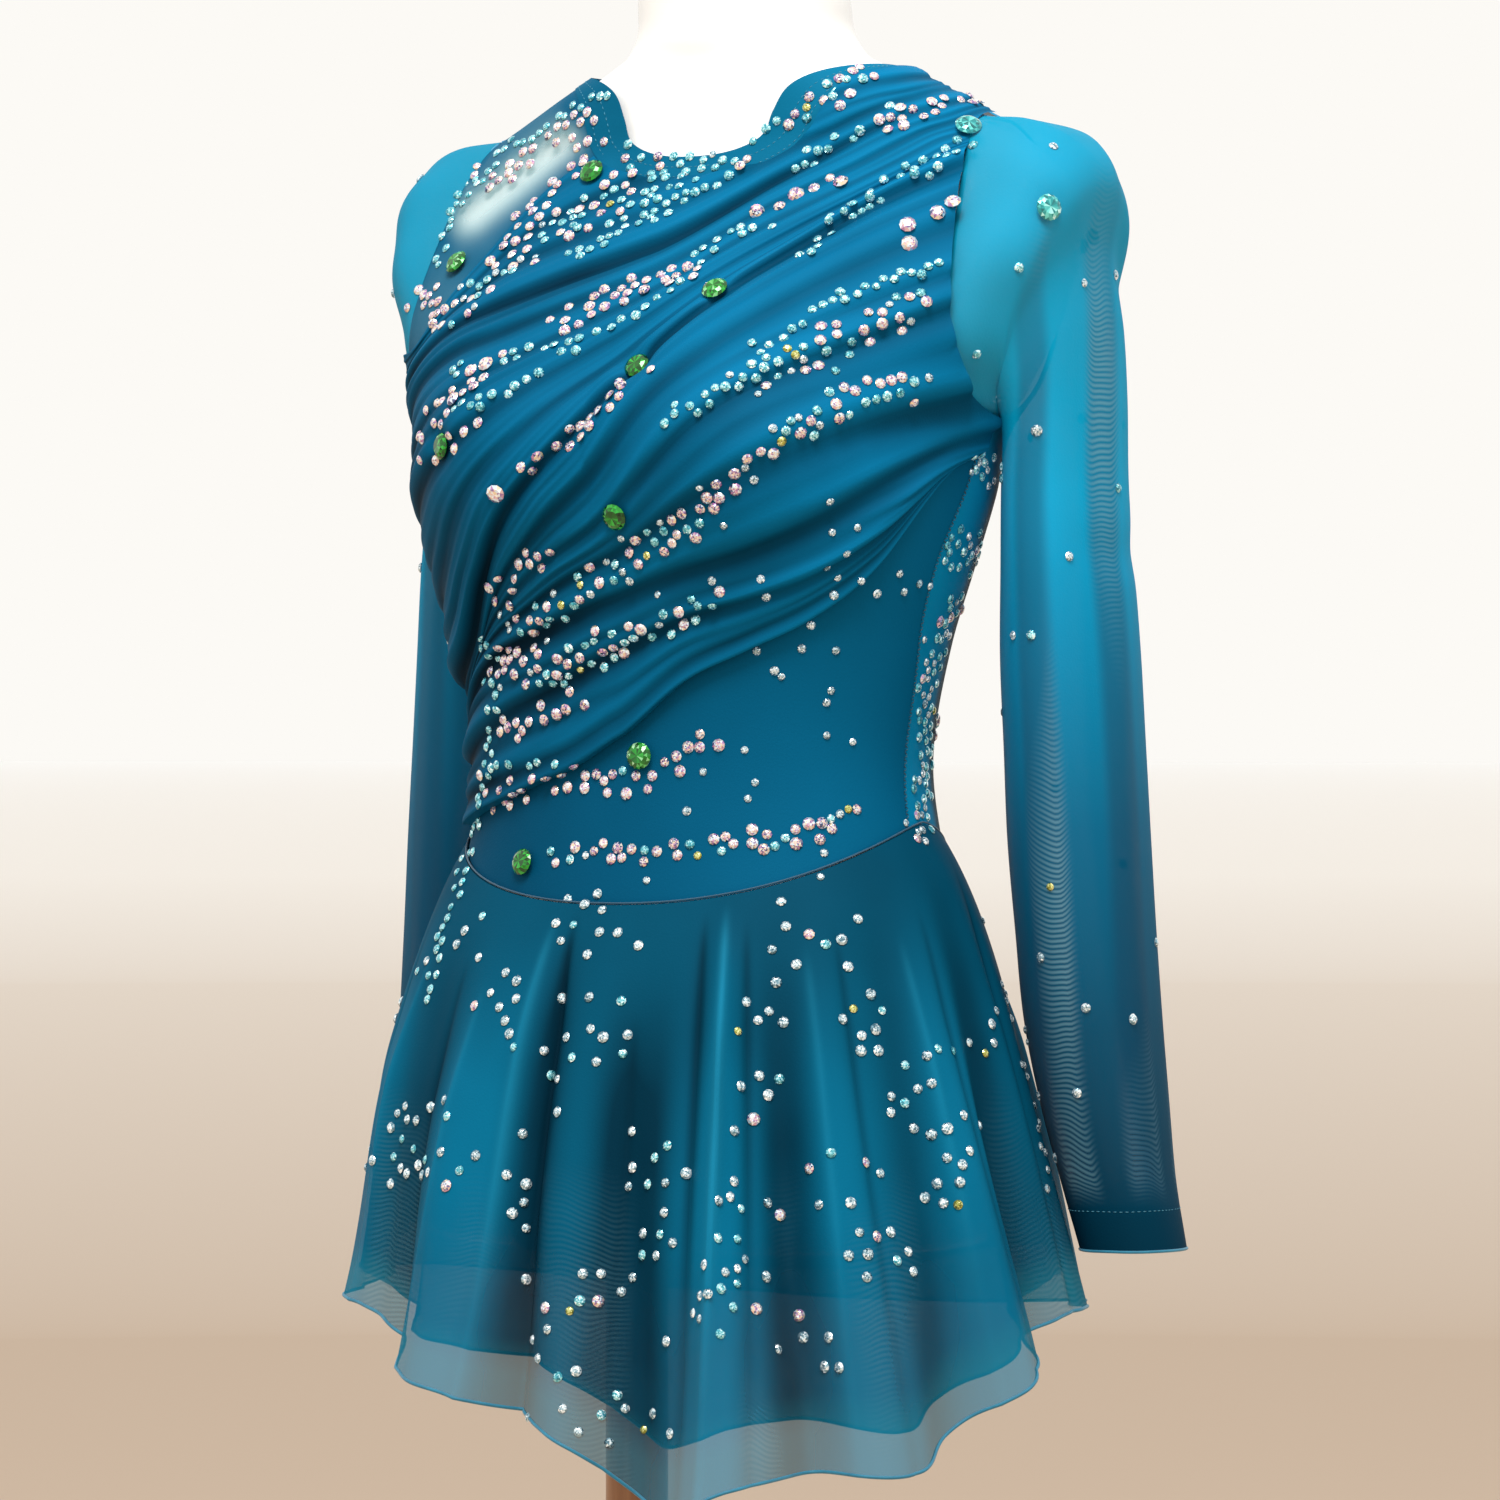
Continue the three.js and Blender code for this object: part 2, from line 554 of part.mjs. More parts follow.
// A point on a sleeve: turn runs round it from the top over the front, and along runs to the cuff.
function sleevePoint(side, turn, along) {
  const place = along * (SLEEVE.length - 1);
  const rows = SLEEVE.map((row, index) => ({ index, ...row }));
  const ring = (column) => smooth(rows, "index", column, place);
  const high = (1 + Math.cos(turn)) / 2;
  const armhole = 1 - fade(place, 0, 3.2);
  const middle = (ring("front") + ring("back")) / 2;
  const reach = (ring("back") - ring("front")) / 2;
  let y = middle - reach * Math.sin(turn);
  let x = mix(ring("inX"), ring("outX"), high);
  if (side < 0) {
    x -= high * smooth(RIGHT_SLEEVE, "place", "pull", place);
    y += smooth(RIGHT_SLEEVE, "place", "back", place);
  }
  const level = mix(ring("inLevel"), ring("outLevel"), high);
  if (armhole > 0) {
    const edge = armholeEdge(turn, level);
    y = mix(y, edge.y, armhole);
    x = mix(x, edge.x, armhole * (1 - fade(place, 0, 1)));
  }
  return new THREE.Vector3(side * x, y, NECK_HEIGHT + level);
}

// Where the torso's outside crosses the armhole seam at a level, in front or behind.
function armholeEdge(turn, level) {
  const section = torsoSection(level);
  const x = smooth(ARMHOLE, "level", "x", level);
  const share = Math.max(0, 1 - Math.min(1, x / (section.half + 1)) ** ROUNDNESS) ** (1 / ROUNDNESS);
  const front = Math.sin(turn) >= 0;
  return { x, y: section.middle + (front ? -section.front : section.back) * share };
}

function sleeve(side) {
  const surface = (turn, along) => sleevePoint(side, turn, along);
  const underarm = NECK_HEIGHT + ARMHOLE[0].level;
  const geometry = wallGeometry(20, SLEEVE.length - 1, true, (u, v) => {
    const turn = 2 * Math.PI * u;
    const outer = raised(surface, turn, v, side * (SLEEVE_SEAT + CLOTH), 0.05, 0.01);
    const inner = raised(surface, turn, v, side * SLEEVE_SEAT, 0.05, 0.01);
    for (const point of [inner, outer]) {
      const seam = smooth(ARMHOLE, "level", "x", point.z - NECK_HEIGHT) + SEAM_GAP / 2;
      if (point.z > underarm) point.x = side * Math.max(side * point.x, seam);
    }
    return [inner, outer];
  });
  return geometry;
}

// The skirt hangs from the waist seam. Drop is the height below the seam.
function skirtPoint(angle, drop, seat, inset) {
  const top = torsoRaised(angle, waistSeam(angle), seat);
  const turnFrom = (from) => ((angle - from + 540) % 360) - 180;
  const hugged = bump(turnFrom(SKIRT_HUG.angle), SKIRT_HUG.wide) * fade(drop, SKIRT_HUG.from, SKIRT_HUG.to);
  const flare = SKIRT.flare * drop + SKIRT.hip * (1 - Math.exp(-drop / SKIRT.hipFade)) - SKIRT_HUG.out * hugged;
  const fullness = (drop / SKIRT.fullDrop) ** 1.25;
  let wave = 0;
  for (const flute of FLUTES) wave += flute.out * bump(turnFrom(flute.angle), flute.wide);
  const out = flare + fullness * (wave - inset);
  const direction = new THREE.Vector3(Math.sin(rad(angle)), -Math.cos(rad(angle)), 0);
  return top.addScaledVector(direction, out).setZ(NECK_HEIGHT + waistSeam(angle) - drop);
}

const hemLevel = (angle) => smooth(HEM, "angle", "level", angle > 180 ? angle - 360 : angle);
const innerHemLevel = (angle) => hemLevel(angle) + 22 + 8 * Math.sin(rad(3 * angle + 40));

function skirt(columns, rows, seat, inset, hem) {
  const surface = (angle, drop) => skirtPoint(angle, Math.max(0, drop), seat, inset);
  return wallGeometry(columns, rows, true, (u, v) => {
    const angle = 360 * u;
    const full = waistSeam(angle) - SEAM_GAP - hem(angle);
    const drop = SEAM_GAP + full * v ** 1.1;
    return [0, CLOTH].map((out) => raised(surface, angle, drop, -out, 0.5, 1));
  });
}

// Briefs round the form's hips, under the skirts, with a leg opening each side of a crotch strip.
function briefs() {
  const around = 28;
  const levels = [-598, -550, -500, -455, -415];
  const angles = Array.from({ length: around }, (_, i) => (360 * i) / around);
  const cup = (out, bottom, top) => {
    const ring = (level) => angles.map((angle) => torsoRaised(angle, level, out));
    const low = ring(FORM_BOTTOM).map((point) => point.setZ(NECK_HEIGHT + bottom));
    return toSolid(loftGeometry([low, ...[...levels, top].map(ring)]));
  };
  const aboveSeam = wallGeometry(around, 1, true, (u, v) => {
    const angle = 360 * u;
    const level = v > 0 ? -340 : waistSeam(angle) - 3.5;
    const scaled = (scale) => torsoPoint(angle, waistSeam(angle)).multiply(new THREE.Vector3(scale, scale, 1));
    return [0.5, 1.5].map((scale) => scaled(scale).setZ(NECK_HEIGHT + level));
  });
  const holes = [1, -1].map((side) => {
    const hole = new THREE.SphereGeometry(1, 20, 12);
    hole.scale(LEG_HOLE.across, LEG_HOLE.deep, LEG_HOLE.tall);
    hole.translate(side * LEG_HOLE.x, 0, NECK_HEIGHT + LEG_HOLE.level);
    return toSolid(hole);
  });
  let solid = cup(CLOTH_SEAT + CLOTH, FORM_BOTTOM - 3.8, -376).subtract(cup(CLOTH_SEAT, FORM_BOTTOM - 2.6, -366));
  for (const cutter of [toSolid(aboveSeam), ...holes]) solid = solid.subtract(cutter);
  return toGeometry(solid);
}

// A large faceted stone standing on its small foot, with its table facing out along the normal.
function stoneAt(seat, normal) {
  const profile = [
    [0, 0],
    [STONE.foot, 0],
    [STONE.girdle, STONE.girdleHeight],
    [STONE.table, STONE.height],
    [0, STONE.height],
  ];
  const geometry = new THREE.LatheGeometry(profile.map(([r, z]) => new THREE.Vector2(r, z)), STONE.sides);
  const turn = new THREE.Quaternion().setFromUnitVectors(new THREE.Vector3(0, 1, 0), normal);
  geometry.applyQuaternion(turn);
  geometry.translate(seat.x, seat.y, seat.z);
  return geometry;
}

// How far a stone stands off a point, so that its foot and its girdle clear the cloth under them.
function standOff(cloth, point, normal) {
  const high = 40;
  const rays = 12;
  const side = new THREE.Vector3(0, 0, 1).cross(normal).normalize();
  const up = normal.clone().cross(side);
  const ray = new THREE.Raycaster();
  let lift = -high;
  const rims = [{ radius: STONE.foot, height: 0 }, { radius: STONE.girdle, height: STONE.girdleHeight }];
  for (const { radius, height } of rims) {
    for (let k = 0; k < rays; k += 1) {
      const turn = (2 * Math.PI * k) / rays;
      const start = point.clone().addScaledVector(normal, high);
      start.addScaledVector(side, radius * Math.cos(turn)).addScaledVector(up, radius * Math.sin(turn));
      ray.set(start, normal.clone().negate());
      const [hit] = ray.intersectObject(cloth);
      if (hit) lift = Math.max(lift, high - hit.distance - height);
    }
  }
  return lift + SEAM_GAP;
}

function stoneOn(cloth, point, normal) {
  return stoneAt(point.clone().addScaledVector(normal, standOff(cloth, point, normal)), normal);
}

function stoneOnBody(cloth, { angle, level }) {
  const point = torsoPoint(angle, level);
  const normal = torsoRaised(angle, level, 1).sub(point).normalize();
  return stoneOn(cloth, point, normal);
}

function stoneOnSleeve(cloth, { turn, along }) {
  const surface = (a, b) => sleevePoint(1, a, b);
  const angle = 2 * Math.PI * turn;
  const point = surface(angle, along);
  const normal = raised(surface, angle, along, 1, 0.05, 0.01).sub(point).normalize();
  return stoneOn(cloth, point, normal);
}

// Materials.
const finish = (color, roughness, metalness = 0) => new THREE.MeshStandardMaterial({ color, roughness, metalness });
const formWhite = finish(0xf2f1ee, 0.25);
const wood = finish(0x8a5a34, 0.5);
const steel = finish(0xe4e4e2, 0.35, 0.4);
const drapeCloth = finish(0x0a6c92, 0.55);
const bodiceCloth = finish(0x075a7a, 0.6);
const sheerCloth = finish(0x2a8fb4, 0.6);
const sleeveCloth = finish(0x0b7fa6, 0.55);
const skirtCloth = finish(0x08546c, 0.6);
const liningCloth = finish(0x06485e, 0.65);
const greenGlass = finish(0x138a2b, 0.05);
const aquaGlass = finish(0x21b7b4, 0.05);

const dress = new THREE.Group();

function add(name, geometry, material) {
  const mesh = new THREE.Mesh(geometry, material);
  mesh.name = name;
  dress.add(mesh);
  return mesh;
}

add("dress_form", dressForm(), formWhite);
add("stand_pole", standPole(), wood);
add("stand_base", standBase(), steel);
const drape = add("front_drape", frontDrape(), drapeCloth);
const bodice = add("bodice_front", bodiceFront(), bodiceCloth);
const yoke = add("shoulder_yoke", shoulderYoke(), sheerCloth);
add("bodice_back", bodiceBack(), bodiceCloth);
add("neckband", neckband(), drapeCloth);
const leftSleeve = add("sleeve_left", sleeve(1), sleeveCloth);
add("sleeve_right", sleeve(-1), sleeveCloth);
add("skirt_outer", skirt(80, 5, SKIRT.seat, 0, hemLevel), skirtCloth);
add("skirt_inner", skirt(80, 5, SKIRT.innerSeat, SKIRT.innerInset, innerHemLevel), liningCloth);
add("briefs", briefs(), bodiceCloth);
const cloths = { drape, bodice, yoke };
for (const stone of STONES) {
  add(stone.name, stoneOnBody(cloths[stone.on], stone), stone.name.includes("green") ? greenGlass : aquaGlass);
}
add(SLEEVE_STONE.name, stoneOnSleeve(leftSleeve, SLEEVE_STONE), aquaGlass);

export default dress;
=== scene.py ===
"""A long-sleeved figure skating dress of stretch mesh on a limbless dress form, with its stones.

Shapes are worked out in millimetres in the part's own frame and put into meshes in metres.
The wearer faces -Y and the wearer's left is +X. A level is a height measured from the neck point.
"""
import math

import bpy
import numpy as np
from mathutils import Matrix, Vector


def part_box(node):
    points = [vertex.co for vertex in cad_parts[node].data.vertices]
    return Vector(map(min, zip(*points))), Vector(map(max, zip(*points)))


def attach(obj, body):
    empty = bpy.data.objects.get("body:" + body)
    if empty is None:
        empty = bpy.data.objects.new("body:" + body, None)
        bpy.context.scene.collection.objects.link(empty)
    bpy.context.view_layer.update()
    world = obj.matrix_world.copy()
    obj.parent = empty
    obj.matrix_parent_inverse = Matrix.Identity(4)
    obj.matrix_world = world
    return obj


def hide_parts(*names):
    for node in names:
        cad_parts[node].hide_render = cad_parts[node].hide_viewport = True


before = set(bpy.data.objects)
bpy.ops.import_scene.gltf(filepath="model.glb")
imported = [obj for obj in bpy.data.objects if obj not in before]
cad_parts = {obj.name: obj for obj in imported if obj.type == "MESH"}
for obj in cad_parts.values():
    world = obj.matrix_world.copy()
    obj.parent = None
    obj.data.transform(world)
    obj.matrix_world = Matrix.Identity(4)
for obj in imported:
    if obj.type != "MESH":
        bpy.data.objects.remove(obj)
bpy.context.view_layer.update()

MM = 0.001
NECK_HEIGHT = 1200

# Driving sizes of the garment and the form.
ROUNDNESS = 2.2
PANEL_OUT = 1.6
BAND_OUT = 2.1
DRAPE_SEAT = 2.7
DRAPE_OVER_PANEL = 4.1
SLEEVE_OUT = 1.4
FORM_INSET = 1.8
WAIST_SEAM_SIDE = -390
WAIST_SEAM_DIP = 40
FORM_BOTTOM = -600
NECK = {
    "aside": 1, "middle": 45, "power": 2.3, "across": 84, "deep": 58.5,
    "band_across": 92, "band_deep": 66, "lowest": -90,
}
BUST = {"across": 77, "level": -200, "out": 17, "wide": 52, "tall": 55}
STUB = {"start": 150, "keep": 0.68, "lowest": -195}
POLE = {"x": -40, "radius": 16, "low": 8.3, "high": 639.7}
BASE = {"radius": 170, "thick": 8, "edge": 3}
SKIRT = {
    "seat": 3.6, "flare": 0.23, "hip": 16, "hip_fade": 40, "full_drop": 260,
    "inner_seat": 2.1, "inner_inset": 5,
}
SKIRT_HUG = {"angle": -78, "wide": 48, "out": 20, "from": 95, "to": 230}
LEG_HOLE = {"x": 120, "level": -612, "across": 99, "deep": 135, "tall": 62}
LARGE_STONE = {"foot": 2.6, "girdle": 6.75, "girdle_height": 2.4, "table": 3.8, "height": 4.8}


def table(columns, *rows):
    """A table of named columns, each one an array."""
    return {name: np.array(column, float) for name, column in zip(columns.split(), zip(*rows))}


TORSO = table(
    "level half middle front back",
    (-600, 151, 0, 100, 110),
    (-540, 152, 0, 105, 114),
    (-480, 144, 0, 102, 106),
    (-430, 131, 0, 95, 94),
    (-400, 124, 0, 89, 88),
    (-358, 119, 0, 84, 86),
    (-300, 128, 2, 90, 91),
    (-260, 140, 5, 103, 94),
    (-225, 149, 12, 120, 92),
    (-191, 154, 22, 130, 88),
    (-165, 170, 32, 127, 84),
    (-135, 189, 42, 118, 78),
    (-100, 200, 50, 97, 72),
    (-63, 190, 53, 72, 69),
    (-45, 162, 52, 63, 68),
    (-30, 133, 50, 60, 66),
    (-15, 104, 48, 58, 63),
    (0, 73, 47, 56, 60),
)

# The form's neck carries on from the torso.
NECK_COLUMN = table(
    "level half middle front back",
    (4, 64, 46, 55, 57),
    (34, 54, 41, 51, 52),
    (66, 53, 36, 50, 51),
    (92, 52, 31, 49, 50),
    (99, 44, 30, 41, 42),
)

ARMHOLE = table(
    "level x",
    (-200, 157),
    (-170, 157),
    (-131, 155),
    (-95, 151),
    (-60, 146),
    (-34, 140),
    (-10, 134),
    (40, 134),
)

SIDE_SEAM = table(
    "level y",
    (-480, -12),
    (-388, -12),
    (-328, -8),
    (-260, -14),
    (-225, -3),
    (-191, 13),
    (-60, 48),
    (60, 48),
)

# Lines that the ruched front follows, from its upper edge (at 0) to its lower edge (at 1).
DRAPE_AT = np.array([0, 0.2, 0.4, 0.6, 0.72, 0.85, 1])
DRAPE = table(
    "angle upper second third middle fifth sixth lower",
    (-95, -152, -188, -250, -332, -342, -354, -388),
    (-65, -148, -168, -226, -316, -325, -336, -392),
    (-45, -143, -152, -208, -297, -303, -315, -384),
    (-30, -106, -136, -192, -266, -282, -302, -376),
    (-20, -62, -126, -180, -241, -268, -295, -369),
    (-10, -38, -114, -165, -218, -252, -286, -361),
    (0, -26, -100, -146, -193, -236, -276, -347),
    (15, -18, -66, -104, -134, -200, -261, -319),
    (30, -14, -47, -74, -92, -164, -250, -303),
    (45, -10, -37, -56, -70, -138, -237, -287),
    (60, -8, -32, -48, -60, -120, -220, -262),
    (75, -6, -28, -42, -52, -110, -204, -219),
    (95, -4, -25, -38, -46, -104, -189, -195),
)
DRAPE_KEYS = ("upper", "second", "third", "middle", "fifth", "sixth", "lower")

# How far the folds of the ruched front stand out, down its lines.
CREST = table(
    "at out",
    (0, 1.6),
    (0.05, 2.4),
    (0.115, 3.6),
    (0.175, 4.2),
    (0.245, 5.0),
    (0.315, 3.6),
    (0.385, 5.6),
    (0.465, 4.4),
    (0.545, 6.4),
    (0.635, 6.6),
    (0.7, 4.8),
    (0.765, 5.8),
    (0.825, 4.6),
    (0.885, 5.2),
    (0.95, 3.4),
    (1, 2.2),
)

# The grooves between the folds: where each lies at the wearer's right and left ends,
# how wide it is, and how deep at the right end, in the middle and at the left end.
GROOVES = table(
    "right left wide deep_right deep_middle deep_left",
    (0.028, 0.03, 0.012, 0.3, 0.2, 0.5),
    (0.082, 0.085, 0.016, 0.6, 0.45, 0.8),
    (0.115, 0.12, 0.010, 0.2, 0.1, 0.6),
    (0.145, 0.15, 0.016, 0.6, 0.5, 0.85),
    (0.212, 0.208, 0.018, 0.9, 0.95, 0.95),
    (0.245, 0.25, 0.010, 0.35, 0.15, 0.6),
    (0.278, 0.285, 0.016, 0.65, 0.5, 0.8),
    (0.32, 0.325, 0.010, 0.3, 0.0, 0.55),
    (0.352, 0.35, 0.018, 0.75, 0.35, 0.85),
    (0.39, 0.395, 0.010, 0.4, 0.1, 0.6),
    (0.425, 0.43, 0.018, 0.7, 0.4, 0.85),
    (0.47, 0.475, 0.011, 0.35, 0.05, 0.55),
    (0.508, 0.5, 0.018, 0.7, 0.35, 0.9),
    (0.552, 0.545, 0.011, 0.4, 0.05, 0.6),
    (0.594, 0.588, 0.020, 0.98, 0.9, 0.8),
    (0.632, 0.628, 0.010, 0.5, 0.1, 0.5),
    (0.668, 0.665, 0.017, 0.85, 0.55, 0.8),
    (0.7, 0.703, 0.009, 0.4, 0.2, 0.5),
    (0.731, 0.735, 0.016, 0.85, 0.6, 0.85),
    (0.765, 0.768, 0.009, 0.4, 0.3, 0.5),
    (0.796, 0.8, 0.016, 0.85, 0.65, 0.85),
    (0.857, 0.852, 0.019, 0.98, 0.95, 0.85),
    (0.888, 0.89, 0.008, 0.5, 0.35, 0.4),
    (0.918, 0.922, 0.015, 0.9, 0.8, 0.85),
    (0.95, 0.952, 0.008, 0.4, 0.3, 0.5),
    (0.975, 0.978, 0.011, 0.7, 0.6, 0.7),
)

SLEEVE = table(
    "in_x in_level out_x out_level front back",
    (157, -187, 140, -34, -31, 98),
    (157, -188, 168, -38, -27, 97),
    (157, -190, 193, -49, -20, 96),
    (157, -192, 206, -68, -13, 96),
    (156, -194, 199, -102, -5, 97),
    (155, -197, 201, -138, 3, 99),
    (153, -204, 202, -175, 9, 100),
    (150, -225, 203, -219, 12, 100),
    (149, -262, 207, -262, 12, 100),
    (148, -306, 211, -306, 13, 100),
    (150, -352, 214, -352, 14, 99),
    (152, -398, 217, -398, 15, 98),
    (156, -444, 220, -444, 17, 97),
    (160, -488, 224, -488, 20, 95),
    (168, -530, 228, -530, 24, 93),
    (178, -568, 232, -568, 29, 90),
    (188, -603, 239, -603, 34, 85),
)

# The right sleeve hangs closer in than the left, and a little further back, by its place down the rings.
RIGHT_SLEEVE = table(
    "place pull back",
    (0, 0, 0),
    (2.5, 14, 1),
    (6, 13, 4),
    (9, 8, 9),
    (12, 8, 9),
    (16, 12, 9),
)

FLUTES = table(
    "angle wide out",
    (-168, 9, 14),
    (-148, 8, -9),
    (-130, 9, 15),
    (-110, 8, -9),
    (-91, 8, 9),
    (-73, 7, -8),
    (-54, 9, 12),
    (-35, 7, -6),
    (-18, 8, 19),
    (-6, 5, -12),
    (2, 5, 6),
    (11, 6, -19),
    (26, 8, 24),
    (37, 5, -17),
    (49, 8, 13),
    (61, 6, -7),
    (73, 7, 20),
    (83, 5, -13),
    (97, 8, 7),
    (115, 8, -9),
    (133, 9, 15),
    (152, 8, -8),
    (172, 8, 9),
)

HEM = table(
    "angle level",
    (-210, -640),
    (-180, -645),
    (-150, -640),
    (-90, -622),
    (-60, -627),
    (-38, -638),
    (-24, -657),
    (-9, -671),
    (5, -691),
    (17, -720),
    (28, -706),
    (41, -701),
    (54, -700),
    (62, -685),
    (75, -659),
    (90, -636),
    (120, -634),
    (150, -640),
    (180, -645),
    (210, -640),
)

# Pleats of the skirt: the angle each starts at, how far it leans by the hem, how wide and how far out
# it is, and the drop at which it starts.
PLEATS = table(
    "angle lean wide out start",
    (-5.5, 1, 1.5, -11, 2),
    (-10, 0, 2.5, 6, 4),
    (26, -2, 1.6, 11, 2),
    (21.5, -1, 1.8, -7, 4),
    (30.5, 0, 2.2, -5, 10),
    (9, 0, 2.6, -3.5, 50),
    (43, 2, 2.4, 3.5, 30),
    (50, 3, 2.0, -3.5, 24),
    (66, 3, 2.6, 4, 40),
    (73, 4, 2.2, -3.5, 30),
    (-22, -1, 2.6, 3, 40),
    (-30, -2, 2.2, -3.5, 30),
    (-46, -3, 2.4, 3, 36),
    (-56, -3, 2.2, -3, 24),
    (95, 2, 2.5, -4, 10),
    (122, 2, 2.5, 4, 30),
    (148, 1, 2.2, -4, 10),
    (180, 0, 2.5, 5, 20),
    (212, -1, 2.2, -4, 10),
    (240, -2, 2.5, 4, 30),
    (266, -2, 2.5, -4, 20),
)

# The large stones on the body: the angle round it and the level of each.
STONES = {
    "stone_green_1": (-14, -62),
    "stone_green_2": (-37, -104),
    "stone_green_3": (-32, -201),
    "stone_green_4": (13, -130),
    "stone_green_5": (5.5, -166),
    "stone_green_6": (5, -235),
    "stone_green_7": (4.5, -356),
    "stone_green_8": (-23.5, -410),
    "stone_aqua_1": (60, -44),
}
SLEEVE_STONE = {"turn": 0.14, "along": 0.17}

# The photo's camera: its bearing, its distance from the torso's axis, its height, how far it stands
# to the right of that axis, its focal length in pixels and the middle of the frame.
CAMERA = {"azimuth": 29, "distance": 3250, "height": 847, "aside": 23, "focal": 6373, "middle": 750}


# The palest line of the sheer shoulder, in the photo's pixels, and how wide it is there: the cloth is
# sheerest along it and its colour is painted pale there as a highlight.
SHEER_HIGHLIGHT_BAND = {"from": (582, 128), "to": (456, 230), "wide": 18}


# Shared shape maths.


def smooth(xs, ys, at):
    """A cubic Hermite curve through (xs, ys), level past its ends.

    Its slope at each point is the mean of the two beside it.
    """
    at = np.asarray(at, float)
    ys = np.asarray(ys, float)
    if ys.ndim == 1:
        ys = np.broadcast_to(ys.reshape((-1,) + (1,) * at.ndim), (len(xs),) + at.shape)
    steps = np.diff(xs)
    chords = np.diff(ys, axis=0) / steps.reshape((-1,) + (1,) * at.ndim)
    slopes = np.concatenate([chords[:1], (chords[1:] + chords[:-1]) / 2, chords[-1:]])
    i = np.clip(np.searchsorted(xs, at) - 1, 0, len(xs) - 2)
    pick = lambda values, k: np.take_along_axis(values, k[None], 0)[0]
    step = steps[i]
    t = np.clip((at - xs[i]) / step, 0, 1)
    rise = (2 * t**3 - 3 * t**2 + 1) * pick(ys, i) + (3 * t**2 - 2 * t**3) * pick(ys, i + 1)
    lean = (t**3 - 2 * t**2 + t) * pick(slopes, i) + (t**3 - t**2) * pick(slopes, i + 1)
    return rise + step * lean


def fade(x, low, high):
    """0 below low, 1 above high, and a smooth step between."""
    t = np.clip((x - low) / (high - low), 0, 1)
    return t * t * (3 - 2 * t)


def mix(a, b, t):
    return a + (b - a) * t


def bump(distance, wide):
    """A bell: e to the minus square of distance over width."""
    return np.exp(-((distance / wide) ** 2))


def xyz(x, y, z):
    return np.stack(np.broadcast_arrays(x, y, z), -1).astype(float)


def unit(vectors):
    return vectors / np.maximum(np.linalg.norm(vectors, axis=-1, keepdims=True), 1e-12)


def raised(surface, u, v, out, du, dv):
    """The surface moved out along its own normal, the cross product of its two slopes."""
    along_u = surface(u + du, v) - surface(u - du, v)
    along_v = surface(u, v + dv) - surface(u, v - dv)
    return surface(u, v) + unit(np.cross(along_u, along_v)) * np.asarray(out)[..., None]


def grid(us, vs):
    """Two arrays of a grid's parameters: u runs along the columns and v down the rows."""
    return np.meshgrid(np.asarray(us, float), np.asarray(vs, float))


def oval(angle, level, half, middle, front, back):
    """A rounded oval: x is half times a power of the sine, and y the depth times a power of the cosine."""
    s = np.sin(np.radians(angle))
    c = np.cos(np.radians(angle))
    depth = np.where(c > 0, front, back)
    x = half * np.sign(s) * np.abs(s) ** (2 / ROUNDNESS)
    y = middle - depth * np.sign(c) * np.abs(c) ** (2 / ROUNDNESS)
    return xyz(x, y, NECK_HEIGHT + level)


def sections(source, level):
    """Half width, middle, front depth and back depth at a level."""
    return [smooth(source["level"], source[key], level) for key in ("half", "middle", "front", "back")]


def torso(angle, level, source=TORSO):
    """The torso: rounded ovals up its height, with a soft swell each side for the bust."""
    angle, level = np.broadcast_arrays(np.asarray(angle, float), np.asarray(level, float))
    points = oval(angle, level, *sections(source, level))
    facing = np.clip(np.cos(np.radians(angle)), 0, None) ** 0.5
    across = bump(np.abs(points[..., 0]) - BUST["across"], BUST["wide"])
    points[..., 1] -= BUST["out"] * facing * across * bump(level - BUST["level"], BUST["tall"])
    return points


def torso_raised(angle, level, out):
    return raised(torso, angle, level, out, 0.5, 0.5)


def waist_seam(angle):
    """The waist seam dips towards the front and back with a power of the cosine."""
    return WAIST_SEAM_SIDE - WAIST_SEAM_DIP * np.abs(np.cos(np.radians(angle))) ** 1.3


def armhole_edge(turn, level):
    """Where the torso's outside crosses the armhole seam at a level."""
    half, middle, front, back = sections(TORSO, level)
    x = smooth(ARMHOLE["level"], ARMHOLE["x"], level)
    share = np.clip(1 - np.minimum(1, x / (half + 1)) ** ROUNDNESS, 0, None) ** (1 / ROUNDNESS)
    return x, middle + np.where(np.sin(turn) >= 0, -front, back) * share


def sleeve_point(side, turn, along):
    """A tube through the sleeve's rings: the cosine of turn runs from its inner to its outer point, and the
    sine across its reach. Near the armhole it closes on to the seam."""
    place = along * (len(SLEEVE["in_x"]) - 1)
    ring = {key: smooth(np.arange(len(column)), column, place) for key, column in SLEEVE.items()}
    high = (1 + np.cos(turn)) / 2
    armhole = 1 - fade(place, 0, 3.2)
    y = (ring["front"] + ring["back"]) / 2 - (ring["back"] - ring["front"]) / 2 * np.sin(turn)
    x = mix(ring["in_x"], ring["out_x"], high)
    level = mix(ring["in_level"], ring["out_level"], high)
    if side < 0:
        x = x - high * smooth(RIGHT_SLEEVE["place"], RIGHT_SLEEVE["pull"], place)
        y = y + smooth(RIGHT_SLEEVE["place"], RIGHT_SLEEVE["back"], place)
    edge_x, edge_y = armhole_edge(turn, level)
    y = mix(y, edge_y, armhole)
    x = mix(x, edge_x, armhole * (1 - fade(place, 0, 1)))
    return xyz(side * x, y, NECK_HEIGHT + level)


def box_middle(node):
    low, high = (np.array(corner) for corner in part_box(node))
    return (low + high) / 2 / MM


def large_stone(node, spot, normal):
    """A large stone of the CAD: its middle, its normal and how far its foot stands off its shape."""
    middle = box_middle(node)
    stands = float((middle - spot) @ normal) - LARGE_STONE["girdle_height"]
    return {"node": node, "spot": spot, "centre": middle, "normal": normal, "stands": stands}


